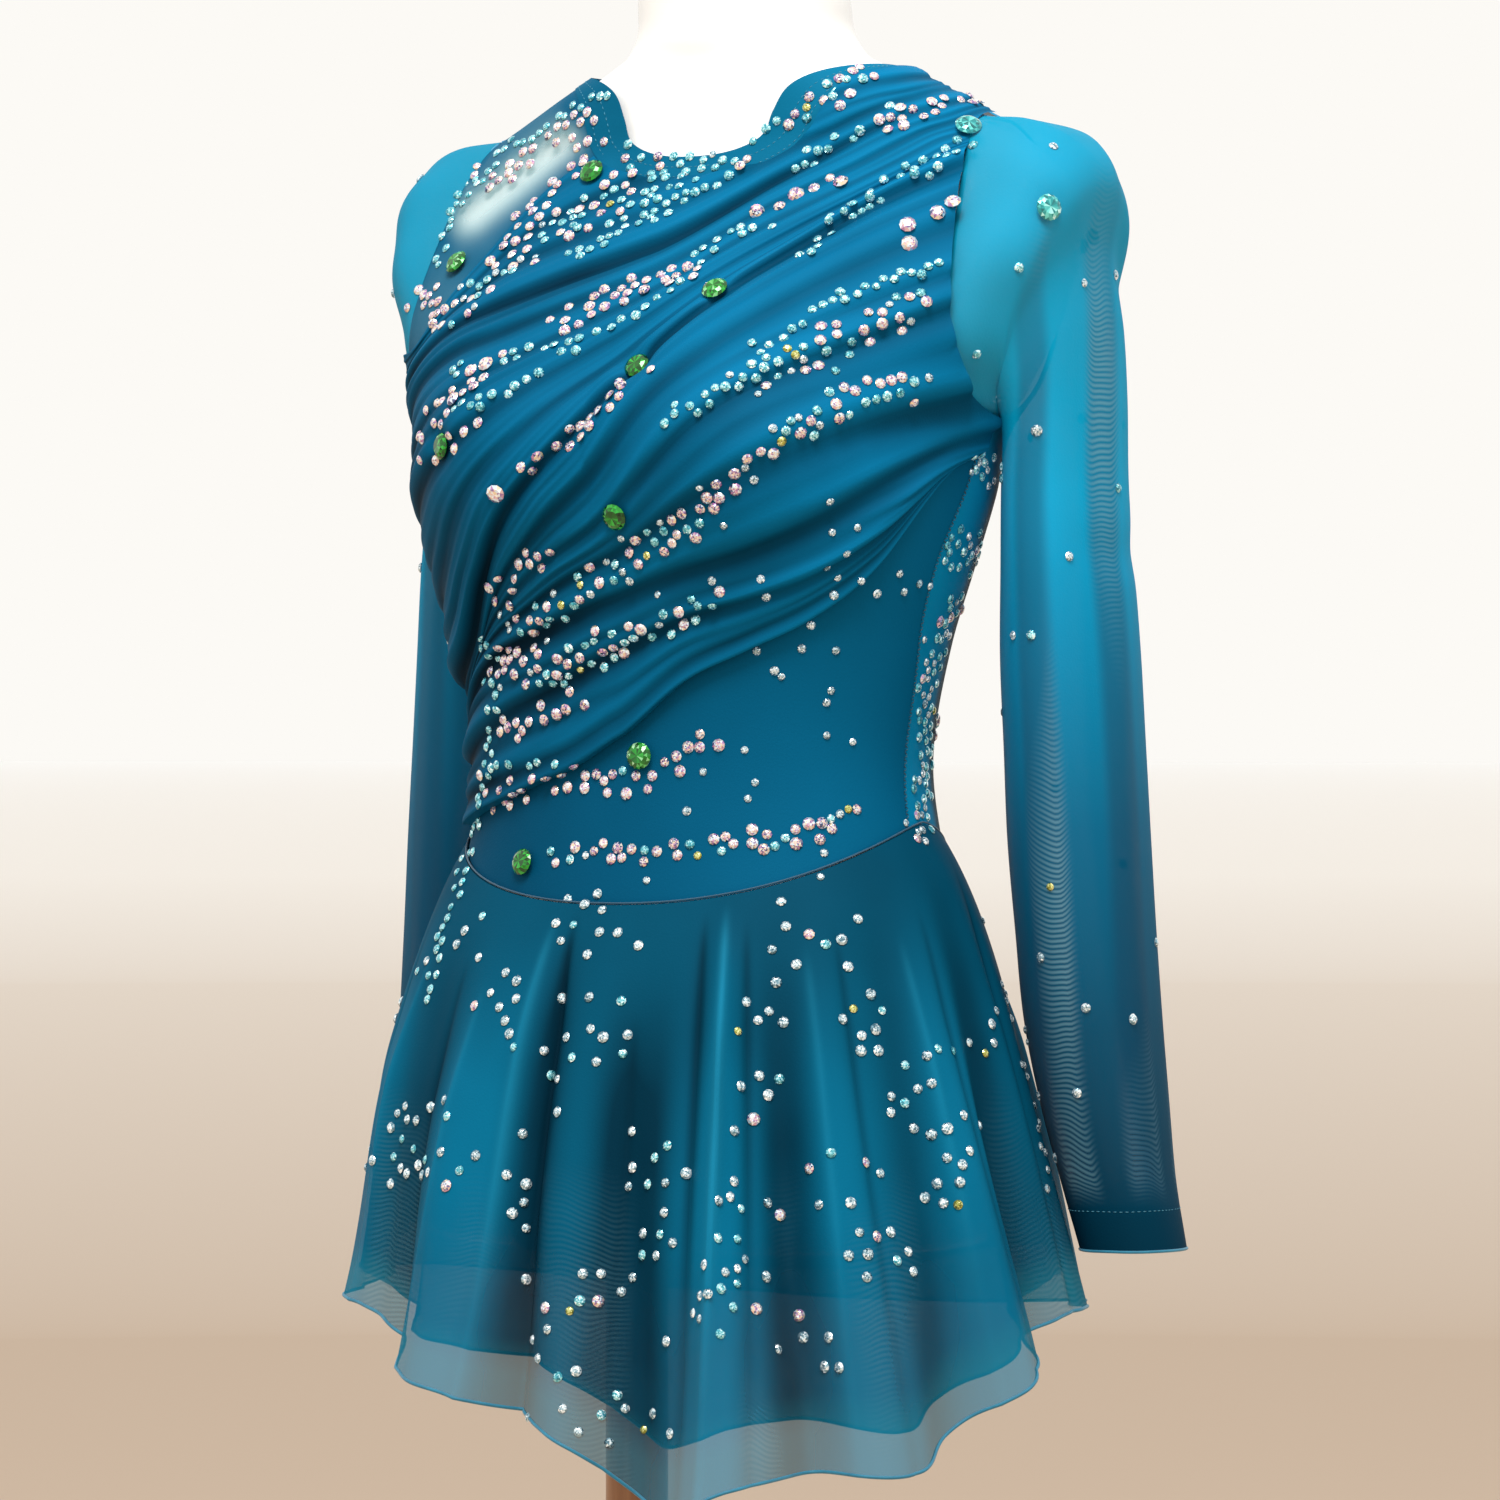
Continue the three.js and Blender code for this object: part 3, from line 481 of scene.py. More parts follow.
def large_stones():
    found = []
    for node, (angle, level) in STONES.items():
        spot = torso(angle, level)
        found.append(large_stone(node, spot, unit(torso_raised(angle, level, 1.0) - spot)))
    on_sleeve = lambda turn, along: sleeve_point(1, turn, along)
    turn = np.array(2 * math.pi * SLEEVE_STONE["turn"])
    along = np.array(SLEEVE_STONE["along"])
    spot = on_sleeve(turn, along)
    normal = unit(raised(on_sleeve, turn, along, 1.0, 0.05, 0.01) - spot)
    found.append(large_stone("stone_aqua_2", spot, normal))
    return found


def under_stones(base, out):
    """Out, with the cloth drawn to the foot of each large stone that stands on it."""
    for stone in LARGE:
        near = bump(np.linalg.norm(base - stone["spot"], axis=-1), STONE_PULL)
        out = mix(out, stone["stands"] - 0.15, near)
    return out


STONE_PULL = 8.5
LARGE = large_stones()


def seen(points):
    """Where points show in the photo, in pixels across and down, and how far they are from its camera."""
    turn = math.radians(CAMERA["azimuth"])
    toward = np.array([math.sin(turn), -math.cos(turn), 0])
    right = np.array([math.cos(turn), math.sin(turn), 0])
    away = CAMERA["distance"] - points @ toward
    across = CAMERA["middle"] + CAMERA["focal"] * (points @ right - CAMERA["aside"]) / away
    down = CAMERA["middle"] - CAMERA["focal"] * (points[..., 2] - CAMERA["height"]) / away
    return across, down, away, toward


# Where cloth stops. Each of these is above 0 on the cloth's side of an edge, in millimetres.


def clear_of_armholes(angle, level):
    return smooth(ARMHOLE["level"], ARMHOLE["x"], level) - np.abs(torso(angle, level)[..., 0])


def before_side_seam(angle, level):
    return smooth(SIDE_SEAM["level"], SIDE_SEAM["y"], level) - torso(angle, level)[..., 1]


def outside_oval(angle, level, across, deep):
    """How far outside an upright oval round the neck, which ends at the neck's lowest level."""
    point = torso(angle, level)
    sideways = np.abs(point[..., 0] - NECK["aside"]) / across
    forward = np.abs(point[..., 1] - NECK["middle"]) / deep
    off = ((sideways ** NECK["power"] + forward ** NECK["power"]) ** (1 / NECK["power"]) - 1) * deep
    return np.where(level < NECK["lowest"], deep, off)


def below_neckband(angle, level):
    return outside_oval(angle, level, NECK["band_across"], NECK["band_deep"])


def trimmed(u, v, field):
    """Cuts a grid along field = 0: outside points beside the edge slide on to it along the grid, and
    faces with no inside corner are dropped. Gives the new parameters and which faces stay."""
    f = field(u, v)
    inside = f > 0
    best = np.full(f.shape, np.inf)
    new_u = u.copy()
    new_v = v.copy()
    rows, columns = f.shape
    for down, right in ((0, 1), (0, -1), (1, 0), (-1, 0), (1, 1), (1, -1), (-1, 1), (-1, -1)):
        j = slice(max(0, -down), rows - max(0, down))
        i = slice(max(0, -right), columns - max(0, right))
        nj = slice(max(0, down), rows + min(0, down))
        ni = slice(max(0, right), columns + min(0, right))
        crosses = ~inside[j, i] & inside[nj, ni]
        share = f[j, i] / np.where(crosses, f[j, i] - f[nj, ni], 1)
        reach = share * math.hypot(down, right)
        better = crosses & (reach < best[j, i])
        best[j, i] = np.where(better, reach, best[j, i])
        new_u[j, i] = np.where(better, u[j, i] + share * (u[nj, ni] - u[j, i]), new_u[j, i])
        new_v[j, i] = np.where(better, v[j, i] + share * (v[nj, ni] - v[j, i]), new_v[j, i])
    stays = inside[:-1, :-1] | inside[1:, :-1] | inside[:-1, 1:] | inside[1:, 1:]
    return new_u, new_v, stays


# Meshes.


def put_mesh(name, points, faces, material, flat=False, values=None, tints=None):
    """Puts points in millimetres and faces into a new object at the origin.

    There is one value for each point and one tint for each face.
    """
    used, places = np.unique(faces, return_inverse=True)
    mesh = bpy.data.meshes.new(name)
    mesh.from_pydata((points[used] * MM).tolist(), [], places.reshape(faces.shape).tolist())
    for key, value in (values or {}).items():
        attribute = mesh.attributes.new(key, "FLOAT", "POINT")
        attribute.data.foreach_set("value", value[used].astype(np.float32))
    if tints is not None:
        mesh.attributes.new("tint", "FLOAT", "FACE").data.foreach_set("value", tints.astype(np.float32))
    mesh.polygons.foreach_set("use_smooth", np.full(len(mesh.polygons), not flat))
    mesh.materials.append(material)
    mesh.update()
    piece = bpy.data.objects.new(name, mesh)
    bpy.context.scene.collection.objects.link(piece)
    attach(piece, "root")
    return piece


class Surface:
    """A grid of points with its outward normals and what each point carries."""

    def __init__(self, points, wrap=False, stays=None, centre=None, **values):
        self.points = points
        self.wrap = wrap
        self.stays = stays
        self.values = values
        ring = np.concatenate([points[:, -1:], points, points[:, :1]], 1) if wrap else points
        across = np.gradient(ring, axis=1)
        across = across[:, 1:-1] if wrap else across
        self.normals = unit(np.cross(across, np.gradient(points, axis=0)))
        middle = points.mean((0, 1)) if centre is None else centre
        away = points - middle
        self.turned = float((self.normals * away).sum()) < 0
        if self.turned:
            self.normals = -self.normals

    def faces(self):
        rows, columns = self.points.shape[:2]
        across = columns if self.wrap else columns - 1
        j, i = np.meshgrid(np.arange(rows - 1), np.arange(across), indexing="ij")
        nxt = (i + 1) % columns
        corners = [j * columns + i, j * columns + nxt, (j + 1) * columns + nxt, (j + 1) * columns + i]
        quads = np.stack(corners[::-1] if self.turned else corners, -1)
        return quads.reshape(-1, 4) if self.stays is None else quads[self.stays]

    def put(self, name, material):
        grid_shape = self.points.shape[:2]
        values = {key: np.broadcast_to(value, grid_shape).ravel() for key, value in self.values.items()}
        return put_mesh(name, self.points.reshape(-1, 3), self.faces(), material, values=values)

    def kept(self):
        """Points and normals of the part of the grid that stays."""
        used = np.unique(self.faces())
        return self.points.reshape(-1, 3)[used], self.normals.reshape(-1, 3)[used]


def tube(name, path, normals, radius, material, sides=6, closed=False):
    """A round tube along a path: circles in the plane of the path's side direction and its normals."""
    before = np.roll(path, 1, 0) if closed else np.concatenate([path[:1], path[:-1]])
    after = np.roll(path, -1, 0) if closed else np.concatenate([path[1:], path[-1:]])
    side = unit(np.cross(unit(after - before), normals))
    turn = 2 * np.pi * np.arange(sides) / sides
    radius = np.broadcast_to(radius, len(path))[:, None, None]
    round_it = side[:, None] * np.cos(turn)[:, None] + normals[:, None] * np.sin(turn)[:, None]
    rings = path[:, None] + radius * round_it
    if closed:
        rings = np.concatenate([rings, rings[:1]])
    else:
        rings = np.concatenate([path[None, :1].repeat(sides, 1), rings, path[None, -1:].repeat(sides, 1)])
    surface = Surface(rings, wrap=True, centre=rings.mean(1, keepdims=True))
    return surface.put(name, material)


def stitches(name, path, normals, pitch, length, thick, material, swing=0.0):
    """Short pointed stitches along a path: at each pitch a thread of six points, its ends on the cloth.
    With swing they lean to alternate sides, as a zigzag does."""
    step = np.concatenate([[0], np.linalg.norm(np.diff(path, axis=0), axis=1).cumsum()])
    places = np.arange(pitch / 2, step[-1], pitch)
    at = np.stack([np.interp(places, step, path[:, k]) for k in range(3)], 1)
    up = unit(np.stack([np.interp(places, step, normals[:, k]) for k in range(3)], 1))
    along = unit(np.gradient(at, axis=0))
    side = unit(np.cross(along, up))
    lean = swing * np.where(np.arange(len(at)) % 2 == 0, 1, -1)[:, None]
    run = unit(along + lean * side) * length / 2
    across = unit(np.cross(run, up)) * thick / 2
    corners = [at - run, at + run, at - across, at + across, at + up * thick, at - up * thick]
    points = np.stack(corners, 1).reshape(-1, 3)
    facets = np.array([
        (0, 2, 4), (2, 1, 4), (1, 3, 4), (3, 0, 4),
        (2, 0, 5), (1, 2, 5), (3, 1, 5), (0, 3, 5),
    ])
    faces = (facets[None] + 6 * np.arange(len(at))[:, None, None]).reshape(-1, 3)
    return put_mesh(name, points, faces, material)


# Finishes.


def srgb(red, green, blue):
    """A screen colour from 0 to 255 as the linear colour that a shader takes."""
    channels = [c / 255 for c in (red, green, blue)]
    return tuple(c / 12.92 if c <= 0.04045 else ((c + 0.055) / 1.055) ** 2.4 for c in channels) + (1.0,)


class Value:
    """A number worked out by a material's nodes, so that it can be written as plain maths."""

    def __init__(self, finish, output):
        self.finish = finish
        self.output = output

    def maths(self, operation, *terms, clamp=False):
        settings = {"operation": operation, "use_clamp": clamp}
        node = self.finish.node("Math", settings, dict(enumerate(terms)))
        return Value(self.finish, node.outputs[0])

    def __add__(self, other):
        return self.maths("ADD", self, other)

    def __radd__(self, other):
        return self.maths("ADD", other, self)

    def __sub__(self, other):
        return self.maths("SUBTRACT", self, other)

    def __rsub__(self, other):
        return self.maths("SUBTRACT", other, self)

    def __mul__(self, other):
        return self.maths("MULTIPLY", self, other)

    def __rmul__(self, other):
        return self.maths("MULTIPLY", other, self)

    def __pow__(self, power):
        return self.maths("POWER", self, power)

    def sine(self):
        return self.maths("SINE", self)

    def held(self):
        """Held between 0 and 1."""
        return self.maths("ADD", self, 0.0, clamp=True)

    def between(self, low, high):
        """0 at low, 1 at high, in a straight line, held between them."""
        return ((self - low) * (1 / (high - low))).held()


class Finish:
    """A material on one Principled shader, its steady values set on the shader's own sockets."""

    def __init__(self, name, **steady):
        self.material = bpy.data.materials.new(name)
        self.material.use_nodes = True
        self.tree = self.material.node_tree
        self.shader = self.tree.nodes["Principled BSDF"]
        for key, value in steady.items():
            self.shader.inputs[key.replace("_", " ").title().replace("Ior", "IOR")].default_value = value

    def node(self, kind, settings, values):
        node = self.tree.nodes.new("ShaderNode" + kind)
        for key, value in settings.items():
            if key == "stops":
                ramp = node.color_ramp
                while len(ramp.elements) < len(value):
                    ramp.elements.new(1.0)
                for element, (place, colour) in zip(ramp.elements, value):
                    element.position = place
                    element.color = colour
            else:
                setattr(node, key, value)
        for key, value in values.items():
            self.feed(node.inputs[key], value)
        return node

    def feed(self, socket, value):
        if isinstance(value, Value):
            self.tree.links.new(value.output, socket)
        else:
            socket.default_value = value

    def carried(self, name):
        """A value that the mesh's points or facets carry."""
        return Value(self, self.node("Attribute", {"attribute_name": name}, {}).outputs["Fac"])

    def place(self, scale=(1, 1, 1)):
        """The point on the object, stretched."""
        source = self.node("TexCoord", {}, {}).outputs["Object"]
        mapping = self.node("Mapping", {}, {"Vector": Value(self, source), "Scale": scale})
        return Value(self, mapping.outputs[0])

    def noise(self, scale, detail=2.0, stretch=(1, 1, 1)):
        values = {"Vector": self.place(stretch), "Scale": scale, "Detail": detail}
        return Value(self, self.node("TexNoise", {}, values).outputs["Fac"])

    def blend(self, first, second, share):
        node = self.node("Mix", {"data_type": "RGBA"}, {0: share, 6: first, 7: second})
        return Value(self, node.outputs[2])

    def ramp(self, value, *stops):
        return Value(self, self.node("ValToRGB", {"stops": stops}, {"Fac": value}).outputs["Color"])

    def relief(self, height, strength, distance):
        values = {"Height": height, "Strength": strength, "Distance": distance}
        self.feed(self.shader.inputs["Normal"], Value(self, self.node("Bump", {}, values).outputs[0]))

    def give(self, **sockets):
        for key, value in sockets.items():
            self.feed(self.shader.inputs[key.replace("_", " ").title()], value)


def stretch_cloth(name, deep, light, share, alpha=None, roughness=0.62):
    """Fine stretch mesh: a deep and a light tint blended by share, a broad mottle and a fine grain."""
    finish = Finish(name, roughness=roughness, specular_ior_level=0.03)
    mottle = finish.noise(11, 3).between(0.3, 0.7)
    level = share(finish) + (mottle - 0.5) * 0.16
    finish.give(base_color=finish.blend(deep, light, level.held()))
    if alpha is not None:
        finish.give(alpha=alpha(finish))
    finish.relief(finish.noise(850, 2), 0.22, 0.0005)
    return finish.material


def watered(finish, pitch=2300.0, arch=0.0):
    """The watered pattern where two layers of mesh lie over each other.

    Level lines, a few millimetres apart, are bent into nested arcs by a slow noise and by what is given
    as arch, and show in upright patches.
    """
    height = Value(finish, finish.node("SeparateXYZ", {}, {0: finish.place()}).outputs["Z"])
    lines = (height * pitch + finish.noise(15, 1.0, (1.8, 1.8, 0.5)) * 74.0 + arch).sine() * 0.5 + 0.5
    return lines * finish.noise(17, 1.0, (1.0, 1.0, 0.14)).between(0.5, 0.66)


def drape_share(finish):
    """Painted shade in the creases, painted light on the folds' tops, and painted light towards the wearer's
    left, where the lamp falls.
    """
    fold = finish.carried("fold")
    return fold * (0.22 + 0.46 * fold) + finish.carried("lit") * 0.36 - 0.1


# The ruched mesh's colour carries painted shade in its creases and painted light on its folds' tops and
# towards the wearer's left.
drape_cloth = stretch_cloth("ruched mesh", srgb(1, 32, 50), srgb(3, 112, 158), drape_share)
# The plain front and the neck binding are painted lighter towards the wearer's left by lit: painted light.
panel_cloth = stretch_cloth(
    "plain front cloth", srgb(1, 64, 94), srgb(2, 98, 138), lambda f: f.carried("lit") * 0.6 + 0.1
)
band_cloth = stretch_cloth(
    "neck binding", srgb(4, 78, 108), srgb(8, 112, 150), lambda f: f.carried("lit") * 0.6 + 0.2
)
briefs_cloth = stretch_cloth("briefs cloth", srgb(2, 40, 56), srgb(3, 56, 76), lambda f: f.noise(6) * 0.5)


def yoke_alpha(finish):
    return 0.94 - 0.56 * finish.carried("sheer")


def back_alpha(finish):
    return 0.96 - 0.14 * finish.carried("sheer")


# Where sheer, its colour is blended pale: a painted highlight of the white form showing through, on top of
# the real see-through of its alpha.
yoke_cloth = stretch_cloth(
    "sheer shoulder mesh",
    srgb(4, 84, 118),
    srgb(150, 200, 206),
    lambda f: f.carried("sheer") * 0.8,
    yoke_alpha,
)
back_cloth = stretch_cloth(
    "back mesh",
    srgb(4, 62, 80),
    srgb(4, 132, 178),
    lambda f: 1.0 - f.carried("sheer"),
    back_alpha,
)


def sleeve_cloth_made(name, shaded):
    finish = Finish(name, roughness=0.6, specular_ior_level=0.03)
    along = finish.carried("along")
    streak = finish.carried("streak")
    water = watered(finish, arch=streak * 11.0) * streak
    shade = finish.ramp(
        along,
        (0.0, srgb(12, 142, 176)),
        (0.3, srgb(4, 156, 200)),
        (0.44, srgb(2, 156, 202)),
        (0.55, srgb(4, 134, 178)),
        (0.68, srgb(2, 98, 136)),
        (0.82, srgb(1, 72, 102)),
        (1.0, srgb(1, 48, 70)),
    )
    hem = finish.carried("hem")
    # shaded darkens the whole sleeve as painted shade; the hem is darker where its cloth lies doubled.
    shade = finish.blend(finish.blend(shade, srgb(1, 58, 84), shaded), srgb(0, 44, 64), hem * 0.5)
    shade = finish.blend(shade, srgb(0, 66, 98), streak * 0.5)
    shade = finish.blend(shade, srgb(140, 200, 216), (water * 0.36).held())
    finish.give(base_color=shade)
    cover = 0.84 + 0.1 * along.between(0, 0.5) - 0.09 * streak - 0.06 * water + 0.08 * hem
    finish.give(alpha=cover.held())
    finish.relief(finish.noise(850, 2), 0.22, 0.0005)
    return finish.material


def skirt_cloth_made(name, alpha, sheer):
    finish = Finish(name, roughness=0.64, specular_ior_level=0.03)
    ridge = finish.carried("ridge")
    water = watered(finish, 2500.0) * finish.carried("drop").between(0.5, 0.8)
    mottle = finish.noise(9, 3).between(0.3, 0.7)
    # ridge paints light over the outward flutes and pleats and shade in the hollows between; drop makes it a
    # little lighter towards the hem.
    level = (ridge * 0.72 + finish.carried("drop") * 0.16 - 0.06 + (mottle - 0.5) * 0.12).held()
    shade = finish.blend(srgb(1, 46, 66), srgb(4, 112, 150), level)
    # Painted shade along each inward crease, and a painted highlight along each outward fold's edge.
    shade = finish.blend(shade, srgb(0, 26, 40), finish.carried("crease"))
    shade = finish.blend(shade, srgb(40, 152, 188), finish.carried("fold_edge"))
    single = finish.carried("drop").between(0.6, 0.78)
    shade = finish.blend(shade, srgb(24, 140, 160), finish.carried("drop").between(0.87, 0.94) * 0.3)
    finish.give(base_color=finish.blend(shade, srgb(120, 176, 190), (water * 0.14).held()))
    finish.give(alpha=(alpha - 0.04 * water - sheer * single).held())
    finish.relief(finish.noise(850, 2), 0.22, 0.0005)
    return finish.material


# The right sleeve's finish is a copy painted darker: painted shade on the side away from the light.
sleeve_cloth = {
    "left": sleeve_cloth_made("left sleeve mesh", 0.0),
    "right": sleeve_cloth_made("right sleeve mesh", 0.2),
}
outer_cloth = skirt_cloth_made("outer skirt mesh", 0.98, 0.22)
inner_cloth = skirt_cloth_made("inner skirt mesh", 0.97, 0.06)


def form_finish():
    finish = Finish("glossy white form", roughness=0.22, coat_weight=0.35, coat_roughness=0.08)
    cloudy = finish.noise(3.5, 3)
    finish.give(base_color=finish.blend(srgb(232, 233, 233), srgb(248, 248, 246), cloudy))
    finish.give(roughness=finish.noise(18, 4) * 0.1 + 0.18)
    finish.relief(finish.noise(22, 3), 0.05, 0.001)
    return finish.material


def wood_finish():
    """Upright grain: a noise stretched along the pole, drawn out into streaks."""
    finish = Finish("varnished wood", roughness=0.4, coat_weight=0.3, coat_roughness=0.15)
    grain = finish.noise(60, 4, (1, 1, 0.05))
    finish.give(base_color=finish.ramp(
        grain, (0.3, srgb(84, 48, 24)), (0.5, srgb(138, 90, 52)), (0.7, srgb(172, 122, 78))
    ))
    finish.relief(grain, 0.15, 0.0006)
    return finish.material


def base_finish():
    finish = Finish("satin white paint", roughness=0.4, metallic=0.0, coat_weight=0.1)
    finish.give(base_color=finish.blend(srgb(214, 214, 212), srgb(232, 231, 228), finish.noise(7, 3)))
    finish.give(roughness=finish.noise(40, 3) * 0.16 + 0.3)
    finish.relief(finish.noise(240, 3), 0.08, 0.0004)
    return finish.material


def thread_finish(name, colour):
    finish = Finish(name, roughness=0.5, sheen_weight=0.2)
    darker = tuple(0.6 * c for c in colour[:3]) + (1.0,)
    finish.give(base_color=finish.blend(colour, darker, finish.noise(500)))
    finish.relief(finish.noise(1500), 0.3, 0.0003)
    return finish.material


def cord_finish(name, deep, light):
    finish = Finish(name, roughness=0.6, sheen_weight=0.25)
    finish.give(base_color=finish.blend(deep, light, finish.noise(120, 3)))
    finish.relief(finish.noise(900), 0.3, 0.0004)
    return finish.material


def stone_finish(name, *stops, metallic=0.6, painted_glint=0.2):
    """Foiled glass: every facet carries its own tint, from its dark to its bright side, partly the crystal's
    own colour and partly painted reflection; the brighter facets glow as painted glints.
    """
    finish = Finish(
        name, roughness=0.08, metallic=metallic, coat_weight=0.8, coat_roughness=0.03,
        emission_strength=painted_glint,
    )
    tint = finish.carried("tint")
    shade = finish.ramp(tint, *stops)
    finish.give(base_color=shade)
    # Painted glints: the brighter facets glow, though no lamp lights them.
    finish.give(emission_color=finish.blend((0.0, 0.0, 0.0, 1.0), shade, tint.between(0.55, 1.0)))
    return finish.material


# The form and its stand.


def join_rows(*tables):
    return {key: np.concatenate([part[key] for part in tables]) for key in tables[0]}


FORM = join_rows(TORSO, NECK_COLUMN)


def form_surface():
    """The torso drawn in along its normal, its arm stubs shortened, then the neck and rounded ends."""
    levels = np.concatenate([
        np.linspace(FORM_BOTTOM, -120, 90), np.linspace(-116, 10, 56), np.linspace(14, 99, 26)
    ])
    angle, level = grid(np.linspace(0, 360, 168, endpoint=False), levels)
    shape = lambda a, l: torso(a, l, FORM)
    drawn_in = FORM_INSET * (1 - fade(level, -6, 12))
    points = raised(shape, angle, level, -drawn_in, 0.5, 0.5)
    reach = np.abs(points[..., 0])
    kept = STUB["start"] + (reach - STUB["start"]) * STUB["keep"]
    on_stub = (reach > STUB["start"]) & (level > STUB["lowest"])
    points[..., 0] = np.where(on_stub, np.sign(points[..., 0]) * kept, points[..., 0])
    low, high = points[:1], points[-1:]

    def end(ring, share, drop):
        middle = ring.mean(1, keepdims=True)
        return middle + (ring - middle) * share + [0, 0, drop]

    bottom = [end(low, share, drop) for share, drop in ((0.0, -2), (0.5, -2), (0.955, -2), (0.985, -0.8))]
    top = [end(high, share, drop) for share, drop in ((0.94, 0.25), (0.85, 0.5), (0.5, 0.5), (0.0, 0.5))]
    return Surface(np.concatenate([*bottom, points, *top]), wrap=True)


def lathe(profile, sides, x):
    """A profile of (radius, height) turned round an upright axis at x."""
    turn = 2 * np.pi * np.arange(sides) / sides
    radius, height = np.array(profile, float).T
    out = radius[:, None]
    return Surface(xyz(x + out * np.cos(turn), out * np.sin(turn), height[:, None]), wrap=True)


form = form_surface().put("form_body", form_finish())
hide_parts("dress_form")

pole_heights = np.linspace(POLE["low"], POLE["high"], 60)
pole_profile = [(0, POLE["low"])] + [(POLE["radius"], z) for z in pole_heights] + [(0, POLE["high"])]
pole = lathe(pole_profile, 40, POLE["x"]).put("wood_pole", wood_finish())
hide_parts("stand_pole")

curve = np.radians(np.linspace(0, 90, 7))
corner = BASE["radius"] - BASE["edge"]
rim = [
    (corner + BASE["edge"] * math.cos(a), BASE["thick"] - BASE["edge"] * (1 - math.sin(a))) for a in curve
]
underside = [(0, 0), (60, 0), (BASE["radius"] - 1.5, 0), (BASE["radius"], 1.5)]
base_profile = underside + rim + [(60, BASE["thick"]), (0, BASE["thick"])]
base = lathe(base_profile, 128, POLE["x"]).put("base_plate", base_finish())
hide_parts("stand_base")


# The bodice.


EDGE_ROLL = 0.012
FOLD_GAIN = 1.45
BODY = np.array([0, 40, 900])


def lit_side(angle):
    """Painted light: the cloth is painted lighter towards the wearer's left, the side the light falls on."""
    return fade(angle, -35, 55)


def drape_level(angle, down):
    lines = np.stack([smooth(DRAPE["angle"], DRAPE[key], angle) for key in DRAPE_KEYS])
    return smooth(DRAPE_AT, lines, down)


def drape_fold(angle, down):
    """The folds' share of their full height: grooves cut into one swell, each steep above and slow below,
    wandering a little, with a depth of its own at each end and in the middle."""
    side = angle / 90
    left = fade(side, -1, 1)
    fold = np.ones_like(down)
    for k in range(len(GROOVES["wide"])):
        groove = {key: column[k] for key, column in GROOVES.items()}
        at = mix(groove["right"], groove["left"], left) + 0.005 * np.sin(np.radians(angle * 3.1) + 2.1 * k)
        ends = np.where(side < 0, groove["deep_right"], groove["deep_left"])
        depth = mix(groove["deep_middle"], ends, fade(np.abs(side), 0.05, 0.75))
        depth = depth * (0.85 + 0.15 * np.sin(np.radians(angle * 4.3) + 1.7 * k))
        off = (down - at) / groove["wide"]
        slope = np.where(off < 0, np.exp(-((off / 0.5) ** 2)), np.exp(-((off / 1.35) ** 2)))
        fold = fold * (1 - depth * slope)
    return fold


def drape_out(angle, down):
    """Seat, plus the folds where the lines leave room for them, rounded over at both long edges."""
    down = np.asarray(down, float)
    inner = np.clip(down, 0, 1)
    step = 0.01
    spread = drape_level(angle, np.clip(inner - step, 0, 1)) - drape_level(angle, np.clip(inner + step, 0, 1))
    spread = spread / (np.clip(inner + step, 0, 1) - np.clip(inner - step, 0, 1))
    room = np.clip(spread / 300, 0.1, 1)
    over = np.maximum(fade(inner, 0.84, 0.92), 1 - fade(inner, 0.05, 0.12))
    crest = smooth(CREST["at"], CREST["out"], inner)
    wrinkle = 0.05 * np.sin(2 * np.pi * (inner * 57 + 0.7 * np.sin(np.radians(angle * 2.3))))
    folds = room * crest * FOLD_GAIN * (drape_fold(angle, inner) + wrinkle)
    out = mix(DRAPE_SEAT, DRAPE_OVER_PANEL, over) + folds
    past = np.clip(np.abs(down - inner) / EDGE_ROLL, 0, 1)
    return mix(PANEL_OUT + 0.4, out, np.sqrt(1 - past**2))


def drape_surface():
    downs = np.concatenate([
        np.linspace(-EDGE_ROLL, 0, 4)[:-1], np.linspace(0, 1, 196), np.linspace(1, 1 + EDGE_ROLL, 4)[1:]
    ])
    angle, down = grid(np.linspace(-97, 97, 500), downs)
    level_of = lambda a, d: drape_level(a, np.clip(d, 0, 1))

    def edge(a, d):
        level = level_of(a, d)
        return np.minimum.reduce([
            clear_of_armholes(a, level), before_side_seam(a, level), below_neckband(a, level)
        ])

    angle, down, stays = trimmed(angle, down, edge)
    level = level_of(angle, down)
    points = torso_raised(angle, level, under_stones(torso(angle, level), drape_out(angle, down)))
    inner = np.clip(down, 0, 1)
    # fold and lit carry the painted shade and painted light of the ruched mesh's colour.
    return Surface(points, stays=stays, centre=BODY, fold=drape_fold(angle, inner), lit=lit_side(angle))


def panel_surface(us, vs, low, high, edges, out, **values):
    """A plain panel between a low and a high edge line, cut at the named edges."""
    angle, share = grid(us, vs)
    level_of = lambda a, s: mix(low(a), high(a), s)
    cut = lambda a, s: np.minimum.reduce([edge(a, level_of(a, s)) for edge in edges])
    angle, share, stays = trimmed(angle, share, cut)
    level = level_of(angle, share)
    carried = {key: value(angle, level) for key, value in values.items()}
    points = torso_raised(angle, level, under_stones(torso(angle, level), np.full_like(level, out)))
    return Surface(points, stays=stays, centre=BODY, **carried)


def front_surface():
    return panel_surface(
        np.linspace(-96, 96, 200), np.linspace(0, 1, 60),
        waist_seam, lambda a: drape_level(a, np.full_like(a, 0.96)),
        [clear_of_armholes, before_side_seam], PANEL_OUT, lit=lambda a, l: lit_side(a),
    )


